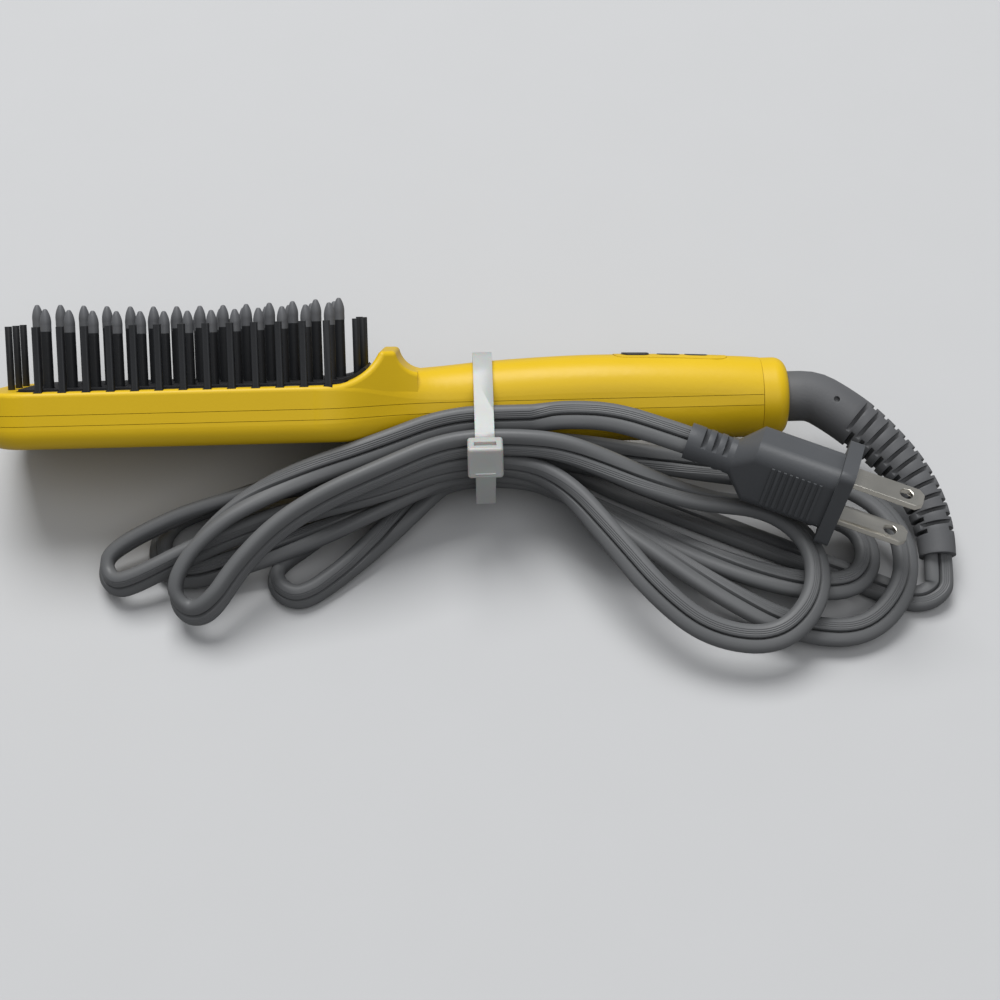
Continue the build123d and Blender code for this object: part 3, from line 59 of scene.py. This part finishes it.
# The handle's middle line at the tie, and the strands that pass the tie beside it: their distance from
# that line in two layers, and their angles about it in degrees.
HANDLE_Y = -6.4
HANDLE_Z = 20.35
TIE_X = 23.6
WAIST_HALF = 9.0
STRAND_RADIUS = 14.2
STRAND_STEP = 5.8
INNER_STRANDS = (144.0, 173.0, 202.0, 231.0)
OUTER_STRANDS = (157.0, 178.0, 199.0, 220.0)
# A strand's face is turned over where it would look further down than this.
FACE_DOWN_LIMIT = -0.2

# Where the control points lie along a loop's sides and round its end, and how the sides fall.
SIDE_SHARES = (0.22, 0.45, 0.68, 0.88)
END_SHARES = (0.125, 0.375, 0.625, 0.875)
FALL_POWER = 2.0
LEFT_LEAN = 0.54

# Each loop of the hank: the strand it leaves by and the one it comes back by, the centre, radius and
# heading of its round end, its heights at the end's start, middle and finish, how long each side holds
# its direction at the tie and at the end, the side that it leaves on, and how far its flat face stands
# on edge at the end.
LEFT_LOOPS = [
    {
        "leave": ("inner", 3), "back": ("outer", 3), "centre": (-24.0, -47.5), "radius": 6.0,
        "heading": 214.0, "heights": (3.4, 4.2, 3.4), "tie_hold": 12.0, "end_hold": 22.0,
        "side": -1, "edge": 0.8,
    },
    {
        "leave": ("inner", 2), "back": ("outer", 2), "centre": (-50.0, -37.0), "radius": 10.0,
        "heading": 193.0, "heights": (2.4, 3.0, 5.2), "tie_hold": 18.0, "end_hold": 30.0,
        "side": -1, "edge": 0.5,
    },
    {
        "leave": ("inner", 1), "back": ("outer", 1), "centre": (-67.0, -45.0), "radius": 5.5,
        "heading": 206.0, "heights": (9.5, 5.0, 8.0), "tie_hold": 28.0, "end_hold": 46.0,
        "side": -1, "edge": 0.8,
    },
    {
        "leave": ("outer", 0), "back": ("inner", 0), "centre": (-48.0, -54.0), "radius": 6.0,
        "heading": 234.0, "heights": (12.0, 5.6, 15.0), "tie_hold": 28.0, "end_hold": 26.0,
        "side": 1, "edge": 0.8,
    },
]
RIGHT_LOOPS = [
    {
        "leave": ("outer", 3), "back": ("inner", 2), "centre": (109.0, -47.5), "radius": 10.5,
        "heading": 0.0, "heights": (8.4, 8.6, 8.6), "tie_hold": 12.0, "end_hold": 26.0,
        "side": -1, "edge": 0.4,
    },
    {
        "leave": ("outer", 2), "back": ("inner", 1), "centre": (109.0, -50.0), "radius": 19.5,
        "heading": 0.0, "heights": (2.4, 10.5, 14.4), "tie_hold": 14.0, "end_hold": 26.0,
        "side": -1, "edge": 0.4,
    },
    {
        "leave": ("outer", 1), "back": ("outer", 0), "centre": (87.0, -56.0), "radius": 18.0,
        "heading": 0.0, "heights": (8.0, 15.0, 15.5), "tie_hold": 18.0, "end_hold": 28.0,
        "side": -1, "edge": 0.4,
    },
]

# The lead, from the strain relief's mouth over the table to the tie.
MOUTH = Vector((136.14, -43.25, 6.49)) - SETTLE
MOUTH_DIRECTION = Vector((0, -0.9483, -0.3173))
MOUTH_SINK = 2.5
MOUTH_RUN = 5.0
LEAD_ROUTE = [
    (137.2, -56.4, 3.4), (132.0, -58.6, 2.1), (125.4, -55.8, 2.1), (119.0, -52.4, 2.1),
    (103.0, -44.4, 2.1), (79.0, -32.2, 2.1), (56.0, -21.0, 2.7),
]
TIE_STUB = Vector((5.0, 0, 0))

# The last run, from the tie up to the plug's rear.
PLUG_ROUTE = [(44.0, -18.4, 30.6), (56.0, -20.6, 32.2)]
PLUG_FACE_SPOT = Vector((111.7, -43.8, 28.0))
PLUG_AXIS = Vector((0.925, -0.363, -0.109)).normalized()
PLUG_LENGTH = 38.5
PLUG_NECK_RUN = 7.5
PLUG_CORD_FACE = Vector((0, -0.5, 0.87))

# The flat twin's width in metres, and the upper edge of its outline in millimetres from its middle: the
# plain half with the groove, and the half with fine ribs.
PLAIN_HALF = [
    (0.0, 0.35), (0.16, 1.2), (0.48, 1.68), (1.1, 1.8), (2.2, 1.76), (2.95, 1.42), (3.42, 0.85), (3.6, 0.0),
]
RIBBED_HALF = [
    (-0.16, 1.2), (-0.48, 1.68), (-0.95, 1.8), (-1.15, 1.7), (-1.4, 1.8), (-1.65, 1.69), (-1.9, 1.78),
    (-2.15, 1.64), (-2.4, 1.71), (-2.95, 1.42), (-3.42, 0.85), (-3.6, 0.0),
]
ROUTE_STEPS = 8
SHARP_ANGLE = math.radians(38)


def strand_angle(strand):
    """Angle of one strand about the handle, seen along the handle."""
    layer, column = strand
    return math.radians((INNER_STRANDS if layer == "inner" else OUTER_STRANDS)[column])


def strand_spot(strand):
    """Where one strand passes the tie."""
    reach = STRAND_RADIUS if strand[0] == "inner" else STRAND_RADIUS + STRAND_STEP
    angle = strand_angle(strand)
    return HANDLE_Y + reach * math.cos(angle), HANDLE_Z + reach * math.sin(angle)


def strand_face(strand):
    """The way the strand's flat face looks at the tie: away from the handle."""
    angle = strand_angle(strand)
    face = Vector((0, math.cos(angle), math.sin(angle)))
    return face if face.z > FACE_DOWN_LIMIT else -face


def loop_heading(loop):
    """Cosine and sine of the way that a loop's round end points."""
    heading = math.radians(loop["heading"])
    return math.cos(heading), math.sin(heading)


def loop_side(loop, side, strand, end_side, height):
    """Control points of one side of a loop, from the tie out to its round end."""
    along = loop_heading(loop)
    across = (-along[1] * end_side, along[0] * end_side)
    start_x = TIE_X + side * WAIST_HALF
    start_y, start_z = strand_spot(strand)
    end = [middle + loop["radius"] * a for middle, a in zip(loop["centre"], across)]
    lean = LEFT_LEAN if side < 0 else 0.0
    knee = (start_x + side * loop["tie_hold"], start_y - lean * loop["tie_hold"])
    hip = [e - loop["end_hold"] * a for e, a in zip(end, along)]
    outward = UP * (1 - loop["edge"]) + Vector((*across, 0)) * loop["edge"]
    line = []
    for share in SIDE_SHARES:
        rest = 1 - share
        weights = (rest ** 3, 3 * rest ** 2 * share, 3 * rest * share ** 2, share ** 3)
        x = sum(w * v for w, v in zip(weights, (start_x, knee[0], hip[0], end[0])))
        y = sum(w * v for w, v in zip(weights, (start_y, knee[1], hip[1], end[1])))
        z = height + (start_z - height) * (1 - share ** FALL_POWER)
        face = strand_face(strand) * rest + outward * share
        line.append((Vector((x, y, z)), face.normalized()))
    return line


def loop_end(loop):
    """Control points of a loop's round end."""
    along = loop_heading(loop)
    start_height, middle_height, finish_height = loop["heights"]
    reach = loop["radius"] / math.cos(math.pi / (2 * len(END_SHARES)))
    line = []
    for share in END_SHARES:
        forward = math.sin(math.pi * share)
        across = loop["side"] * math.cos(math.pi * share)
        out = Vector((forward * along[0] - across * along[1], forward * along[1] + across * along[0], 0))
        if share < 0.5:
            height = start_height + (middle_height - start_height) * 2 * share
        else:
            height = middle_height + (finish_height - middle_height) * (2 * share - 1)
        spot = Vector((*loop["centre"], 0)) + out * reach
        face = UP * (1 - loop["edge"]) + out * loop["edge"]
        line.append((Vector((spot.x, spot.y, height)), face.normalized()))
    return line


def loop_line(loop, side):
    """Control points of one loop, each with the way that the cord's flat face looks."""
    out = loop_side(loop, side, loop["leave"], loop["side"], loop["heights"][0])
    home = loop_side(loop, side, loop["back"], -loop["side"], loop["heights"][2])
    return out + loop_end(loop) + home[::-1]


def tie_pass(strand, ends):
    """The two control points of one pass through the tie."""
    y, z = strand_spot(strand)
    return [(Vector((TIE_X + end * WAIST_HALF, y, z)), strand_face(strand)) for end in ends]


def hank_line():
    """Control points of the whole hank, pass by pass through the tie, with their faces."""
    line = []
    for index, left in enumerate(LEFT_LOOPS):
        line += tie_pass(left["leave"], (1, -1))
        line += loop_line(left, -1)
        line += tie_pass(left["back"], (-1, 1))
        if index < len(RIGHT_LOOPS):
            line += loop_line(RIGHT_LOOPS[index], 1)
    return line


def placed(line):
    """Control points in metres, at their settled place."""
    return [((spot + SETTLE) * MM, face) for spot, face in line]


def spline_through(name, line):
    """Points read from the NURBS spline whose control points are the route, and their faces."""
    curve = bpy.data.curves.new(name + "_route", "CURVE")
    curve.dimensions = "3D"
    curve.resolution_u = ROUTE_STEPS
    spline = curve.splines.new("NURBS")
    spline.points.add(len(line) - 1)
    for point, (spot, _) in zip(spline.points, line):
        point.co = (*spot, 1)
    spline.order_u = 3
    spline.use_endpoint_u = True
    holder = bpy.data.objects.new(name + "_route", curve)
    bpy.context.scene.collection.objects.link(holder)
    bpy.context.view_layer.update()
    mesh = bpy.data.meshes.new_from_object(holder)
    points = [vertex.co.copy() for vertex in mesh.vertices]
    bpy.data.objects.remove(holder)
    bpy.data.meshes.remove(mesh)
    faces = []
    for i in range(len(points)):
        where = i / (len(points) - 1) * (len(line) - 1)
        low = min(int(where), len(line) - 2)
        faces.append(line[low][1].lerp(line[low + 1][1], where - low).normalized())
    return points, faces


def twin_section():
    """Closed outline of the flat twin cord, in metres: the upper edge and its mirror image."""
    upper = RIBBED_HALF[::-1] + PLAIN_HALF
    lower = [(x, -y) for x, y in reversed(upper[1:-1])]
    return [(x * MM, y * MM) for x, y in upper + lower]


def section_frame(points, faces, i):
    """Matrix that puts the section across the cord at one of its points."""
    ahead = points[min(i + 1, len(points) - 1)]
    behind = points[max(i - 1, 0)]
    forward = (ahead - behind).normalized()
    wide = forward.cross(faces[i]).normalized()
    face = wide.cross(forward).normalized()
    matrix = Matrix((wide, face, forward)).transposed().to_4x4()
    matrix.translation = points[i]
    return matrix


def finished(bm, name, material, smooth=True):
    """A mesh object made from a bmesh, with its finish."""
    mesh = bpy.data.meshes.new(name)
    bm.to_mesh(mesh)
    bm.free()
    for polygon in mesh.polygons:
        polygon.use_smooth = smooth
    mesh.set_sharp_from_angle(angle=SHARP_ANGLE)
    piece = bpy.data.objects.new(name, mesh)
    bpy.context.scene.collection.objects.link(piece)
    piece.data.materials.append(material)
    return piece


def put_in_order(elements, place):
    """Order the verts or faces of a bmesh by where they are, so that the mesh is the same each run."""
    for index, element in enumerate(sorted(elements, key=place)):
        element.index = index
    elements.sort()


def sweep_cord(name, line, material):
    """The flat twin swept along its spline: one ring of the outline, extruded point by point."""
    points, faces = spline_through(name, line)
    bm = bmesh.new()
    before = section_frame(points, faces, 0)
    ring = [bm.verts.new(before @ Vector((x, y, 0))) for x, y in twin_section()]
    edges = [bm.edges.new((a, b)) for a, b in zip(ring, ring[1:] + ring[:1])]
    bm.faces.new(ring)
    for i in range(1, len(points)):
        now = section_frame(points, faces, i)
        grown = bmesh.ops.extrude_edge_only(bm, edges=edges)["geom"]
        moved = {g for g in grown if isinstance(g, bmesh.types.BMVert)}
        edges = [g for g in grown if isinstance(g, bmesh.types.BMEdge) and moved.issuperset(g.verts)]
        bmesh.ops.transform(bm, matrix=now @ before.inverted(), verts=list(moved))
        before = now
    bmesh.ops.contextual_create(bm, geom=edges)
    bmesh.ops.recalc_face_normals(bm, faces=bm.faces)
    # The extrusion leaves its new verts and faces in no fixed order.
    put_in_order(bm.verts, lambda vert: tuple(vert.co))
    put_in_order(bm.faces, lambda face: tuple(face.calc_center_median()))
    return finished(bm, name, material), points


# Finishes. The Mix node's colour sockets are reached by number, because its names are used twice.
MIX_LOW, MIX_HIGH, MIX_RESULT = 6, 7, 2
PATCH_SCALE = 45.0
PATCH_LOW, PATCH_HIGH = 0.3, 0.7
GRAIN_DEPTH = 0.00015
PLASTIC_SHINE = 0.28
METAL_SHINE = 0.5
LUCENT_DEPTH = 0.002
LUCENT_PASS = 0.35


def fine_grain_group():
    """Fine moulded grain: a height, and a mask that varies the colour and the gloss."""
    group = bpy.data.node_groups.new("fine_grain", "ShaderNodeTree")
    group.interface.new_socket(name="Scale", in_out="INPUT", socket_type="NodeSocketFloat")
    group.interface.new_socket(name="Height", in_out="OUTPUT", socket_type="NodeSocketFloat")
    group.interface.new_socket(name="Patch", in_out="OUTPUT", socket_type="NodeSocketFloat")
    inside = group.nodes.new("NodeGroupInput")
    outside = group.nodes.new("NodeGroupOutput")
    where = group.nodes.new("ShaderNodeTexCoord")
    grain = group.nodes.new("ShaderNodeTexNoise")
    grain.inputs["Detail"].default_value = 3.0
    patch = group.nodes.new("ShaderNodeTexNoise")
    patch.inputs["Scale"].default_value = PATCH_SCALE
    patch.inputs["Detail"].default_value = 4.0
    group.links.new(where.outputs["Object"], grain.inputs["Vector"])
    group.links.new(where.outputs["Object"], patch.inputs["Vector"])
    group.links.new(inside.outputs["Scale"], grain.inputs["Scale"])
    group.links.new(grain.outputs["Fac"], outside.inputs["Height"])
    group.links.new(patch.outputs["Fac"], outside.inputs["Patch"])
    return group


FINE_GRAIN = fine_grain_group()


def moulded(name, colour, shade, roughness, spread, scale=2200.0, bump=0.15, metallic=0.0, lucent=0.0):
    """A moulded or metal finish: its colour drifts to a shade, its gloss varies and it has a fine grain."""
    material = bpy.data.materials.new(name)
    material.use_nodes = True
    tree = material.node_tree
    shader = tree.nodes["Principled BSDF"]
    shader.inputs["Metallic"].default_value = metallic
    shader.inputs["Specular IOR Level"].default_value = METAL_SHINE if metallic else PLASTIC_SHINE
    if lucent:
        shader.inputs["Subsurface Weight"].default_value = lucent
        shader.inputs["Subsurface Scale"].default_value = LUCENT_DEPTH
        shader.inputs["Transmission Weight"].default_value = LUCENT_PASS
    grain = tree.nodes.new("ShaderNodeGroup")
    grain.node_tree = FINE_GRAIN
    grain.inputs["Scale"].default_value = scale
    drift = tree.nodes.new("ShaderNodeMix")
    drift.data_type = "RGBA"
    drift.inputs[MIX_LOW].default_value = (*shade, 1)
    drift.inputs[MIX_HIGH].default_value = (*colour, 1)
    gloss = tree.nodes.new("ShaderNodeMapRange")
    gloss.inputs["From Min"].default_value = PATCH_LOW
    gloss.inputs["From Max"].default_value = PATCH_HIGH
    gloss.inputs["To Min"].default_value = roughness - spread
    gloss.inputs["To Max"].default_value = roughness + spread
    relief = tree.nodes.new("ShaderNodeBump")
    relief.inputs["Strength"].default_value = bump
    relief.inputs["Distance"].default_value = GRAIN_DEPTH
    tree.links.new(grain.outputs["Patch"], drift.inputs["Factor"])
    tree.links.new(drift.outputs[MIX_RESULT], shader.inputs["Base Color"])
    tree.links.new(grain.outputs["Patch"], gloss.inputs["Value"])
    tree.links.new(gloss.outputs["Result"], shader.inputs["Roughness"])
    tree.links.new(grain.outputs["Height"], relief.inputs["Height"])
    tree.links.new(relief.outputs["Normal"], shader.inputs["Normal"])
    return material


YELLOW = (0.70, 0.465, 0.009)
YELLOW_SHADE = (0.65, 0.42, 0.008)
# One finish for each slot of the record. The panel's slot is called black, but the photograph shows the
# panel in the body's yellow.
FINISHES = {
    "body": moulded("yellow_shell", YELLOW, YELLOW_SHADE, 0.42, 0.06, scale=1800, bump=0.08),
    "bed_plastic": moulded(
        "bed_black", (0.016, 0.016, 0.018), (0.011, 0.011, 0.013), 0.6, 0.08, bump=0.3),
    "bar_plastic": moulded(
        "bar_black", (0.021, 0.022, 0.024), (0.015, 0.016, 0.018), 0.5, 0.08, bump=0.3),
    "comb_metal": moulded(
        "comb_black", (0.017, 0.018, 0.02), (0.012, 0.013, 0.015), 0.48, 0.08, bump=0.25),
    # Painted highlight: the tips are the comb's dark grey, and the light that falls on them from above and
    # behind is painted into this lighter grey.
    "tip_plastic": moulded(
        "tip_grey_painted_highlight", (0.135, 0.138, 0.145), (0.1, 0.103, 0.11), 0.42, 0.07, bump=0.2),
    "plain_aluminium": moulded(
        "bare_aluminium", (0.72, 0.73, 0.74), (0.62, 0.63, 0.64), 0.38, 0.1, metallic=1.0),
    "heater_ceramic": moulded("heater_wrap", (0.78, 0.76, 0.7), (0.7, 0.67, 0.6), 0.7, 0.08),
    "mica": moulded("mica_sheet", (0.5, 0.42, 0.3), (0.36, 0.3, 0.2), 0.5, 0.1, scale=900, bump=0.4),
    "screw_steel": moulded("zinc_steel", (0.6, 0.61, 0.63), (0.5, 0.5, 0.52), 0.35, 0.1, metallic=1.0),
    "fuse_metal": moulded("fuse_can", (0.68, 0.68, 0.68), (0.58, 0.58, 0.58), 0.3, 0.08, metallic=1.0),
    "bead_glass": moulded("sealed_bead", (0.35, 0.14, 0.05), (0.25, 0.1, 0.04), 0.2, 0.05),
    "wire_sleeve": moulded("wire_sleeve", (0.75, 0.74, 0.7), (0.68, 0.67, 0.62), 0.5, 0.08),
    "board_green": moulded("board_green", (0.03, 0.16, 0.06), (0.02, 0.11, 0.045), 0.35, 0.08),
    "switch_black": moulded("switch_black", (0.03, 0.03, 0.03), (0.022, 0.022, 0.022), 0.45, 0.08),
    "panel_black": moulded("panel_yellow", YELLOW, YELLOW_SHADE, 0.42, 0.06, scale=1800, bump=0.08),
    "button_black": moulded(
        "key_black", (0.03, 0.03, 0.033), (0.024, 0.024, 0.026), 0.38, 0.06, bump=0.08),
    "light_pipe": moulded("light_pipe", (0.7, 0.72, 0.72), (0.62, 0.64, 0.64), 0.15, 0.04, lucent=0.3),
    "contact_brass": moulded("contact_brass", (0.72, 0.5, 0.2), (0.6, 0.4, 0.15), 0.3, 0.08, metallic=1.0),
    "washer_nylon": moulded("washer_nylon", (0.8, 0.8, 0.76), (0.74, 0.74, 0.7), 0.45, 0.06),
    "swivel_plastic": moulded("swivel_grey", (0.09, 0.09, 0.095), (0.07, 0.07, 0.075), 0.5, 0.08),
    "relief_rubber": moulded(
        "relief_grey", (0.12, 0.122, 0.127), (0.09, 0.092, 0.096), 0.55, 0.08, scale=1500, bump=0.3),
    "cord_jacket": moulded(
        "cord_grey", (0.135, 0.138, 0.141), (0.105, 0.108, 0.111), 0.46, 0.08, scale=1500, bump=0.12),
    "plug_rubber": moulded(
        "plug_grey", (0.082, 0.086, 0.092), (0.064, 0.067, 0.072), 0.44, 0.07, scale=1500, bump=0.2),
    "blade_nickel": moulded(
        "blade_nickel", (0.78, 0.75, 0.68), (0.66, 0.63, 0.56), 0.32, 0.1,
        scale=600, metallic=1.0, bump=0.1),
    "tie_nylon": moulded("tie_nylon", (0.66, 0.68, 0.66), (0.58, 0.6, 0.58), 0.34, 0.06, lucent=0.5),
}
SLOTS = {part["node"]: part["material_slot"] for part in frame["record"]["subparts"]}
for node_name, piece in nodes.items():
    slot_name = SLOTS[node_name]
    material = FINISHES["body" if slot_name.startswith("body_") else slot_name]
    piece.data.materials.clear()
    piece.data.materials.append(material)

# Moulded edges are a little soft: each of these nodes gets a small rounding, in millimetres.
EDGE_ROUNDS = {
    "plug_body": 0.5, "plug_blades": 0.2, "cable_tie": 0.15, "strain_relief": 0.2, "power_button": 0.3,
    "temp_up_button": 0.2, "temp_down_button": 0.2, "side_bars_near": 0.25, "side_bars_far": 0.25,
    "front_pins": 0.2, "rear_pins": 0.2,
}
EDGE_ANGLE = math.radians(40)
WELD_REACH = 0.000005
for node_name, width in EDGE_ROUNDS.items():
    weld = nodes[node_name].modifiers.new("weld", "WELD")
    weld.merge_threshold = WELD_REACH
    soften = nodes[node_name].modifiers.new("soften", "BEVEL")
    soften.width = width * MM
    soften.segments = 2
    soften.limit_method = "ANGLE"
    soften.angle_limit = EDGE_ANGLE

# The cord, in two pieces that meet at the tie: the lead, and the hank with its run to the plug.
hank = hank_line()
lead_line = [(MOUTH - MOUTH_DIRECTION * MOUTH_SINK, UP), (MOUTH + MOUTH_DIRECTION * MOUTH_RUN, UP)]
lead_line += [(Vector(spot), UP) for spot in LEAD_ROUTE]
lead_line += [(hank[0][0] + TIE_STUB, hank[0][1]), hank[0]]
plug_rear = PLUG_FACE_SPOT - PLUG_AXIS * PLUG_LENGTH
plug_line = [(hank[-1][0] + TIE_STUB, hank[-1][1])]
plug_spots = [Vector(spot) for spot in PLUG_ROUTE] + [plug_rear - PLUG_AXIS * PLUG_NECK_RUN, plug_rear]
plug_line += [(spot, PLUG_CORD_FACE) for spot in plug_spots]
lead, lead_points = sweep_cord("cord_lead_twin", placed(lead_line), FINISHES["cord_jacket"])
hank_cord, hank_points = sweep_cord("cord_hank_twin", placed(hank + plug_line), FINISHES["cord_jacket"])

for piece, *stood_for in ((lead, "cord_lead", "lead_run"), (hank_cord, "cord_hank", "plug_cord")):
    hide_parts(*stood_for)
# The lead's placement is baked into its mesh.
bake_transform(lead)
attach(hank_cord, "housing")

# The table. It throws less light back on the brush than it shows to the camera.
TABLE_HALF = 3.0
TABLE_SHINE = 0.15
TABLE_BOUNCE = (0.24, 0.24, 0.24, 1)
table_bm = bmesh.new()
bmesh.ops.create_grid(table_bm, x_segments=1, y_segments=1, size=TABLE_HALF)
table_white = moulded(
    "table_white", (0.502, 0.506, 0.512), (0.488, 0.492, 0.496), 0.85, 0.05, scale=300, bump=0.03)
table_tree = table_white.node_tree
table_shader = table_tree.nodes["Principled BSDF"]
table_shader.inputs["Specular IOR Level"].default_value = TABLE_SHINE
table_seen = table_tree.nodes.new("ShaderNodeLightPath")
table_mix = table_tree.nodes.new("ShaderNodeMix")
table_mix.data_type = "RGBA"
table_mix.inputs[MIX_LOW].default_value = TABLE_BOUNCE
table_colour = table_shader.inputs["Base Color"].links[0].from_socket
table_tree.links.new(table_seen.outputs["Is Camera Ray"], table_mix.inputs["Factor"])
table_tree.links.new(table_colour, table_mix.inputs[MIX_HIGH])
table_tree.links.new(table_mix.outputs[MIX_RESULT], table_shader.inputs["Base Color"])
table = finished(table_bm, "table", table_white, smooth=False)


def soft_light(name, spot, width, power):
    """A square soft lamp, aimed at the middle of the table."""
    lamp = bpy.data.lights.new(name, "AREA")
    lamp.shape = "SQUARE"
    lamp.size = width
    lamp.energy = power
    holder = bpy.data.objects.new(name, lamp)
    holder.location = spot
    holder.rotation_euler = (-Vector(spot)).to_track_quat("-Z", "Y").to_euler()
    bpy.context.scene.collection.objects.link(holder)


# The key light comes from above and behind the brush, and a weaker one from in front of it.
soft_light("window", spot=(-0.3, 1.15, 2.3), width=1.5, power=70.0)
soft_light("room", spot=(0.4, -0.9, 1.9), width=1.6, power=12.0)
world = bpy.data.worlds.new("room_light")
world.use_nodes = True
background = world.node_tree.nodes["Background"]
background.inputs["Color"].default_value = (0.92, 0.95, 1.0, 1)
background.inputs["Strength"].default_value = 0.26
bpy.context.scene.world = world

# The camera that was fitted to the photograph: its spot in the drawing, its tilt and turn in degrees.
CAMERA_SPOT = Vector((18.7, -302.0, 399.0))
CAMERA_TILT = 35.0
CAMERA_TURN = -1.8
camera_data = bpy.data.cameras.new("photo_camera")
camera_data.lens = 66.6
camera_data.sensor_width = 36.0
camera = bpy.data.objects.new("photo_camera", camera_data)
camera.location = (CAMERA_SPOT + SETTLE) * MM
camera.rotation_euler = (math.radians(CAMERA_TILT), 0, math.radians(CAMERA_TURN))
bpy.context.scene.collection.objects.link(camera)
bpy.context.scene.camera = camera
bpy.context.scene.view_settings.view_transform = "Standard"
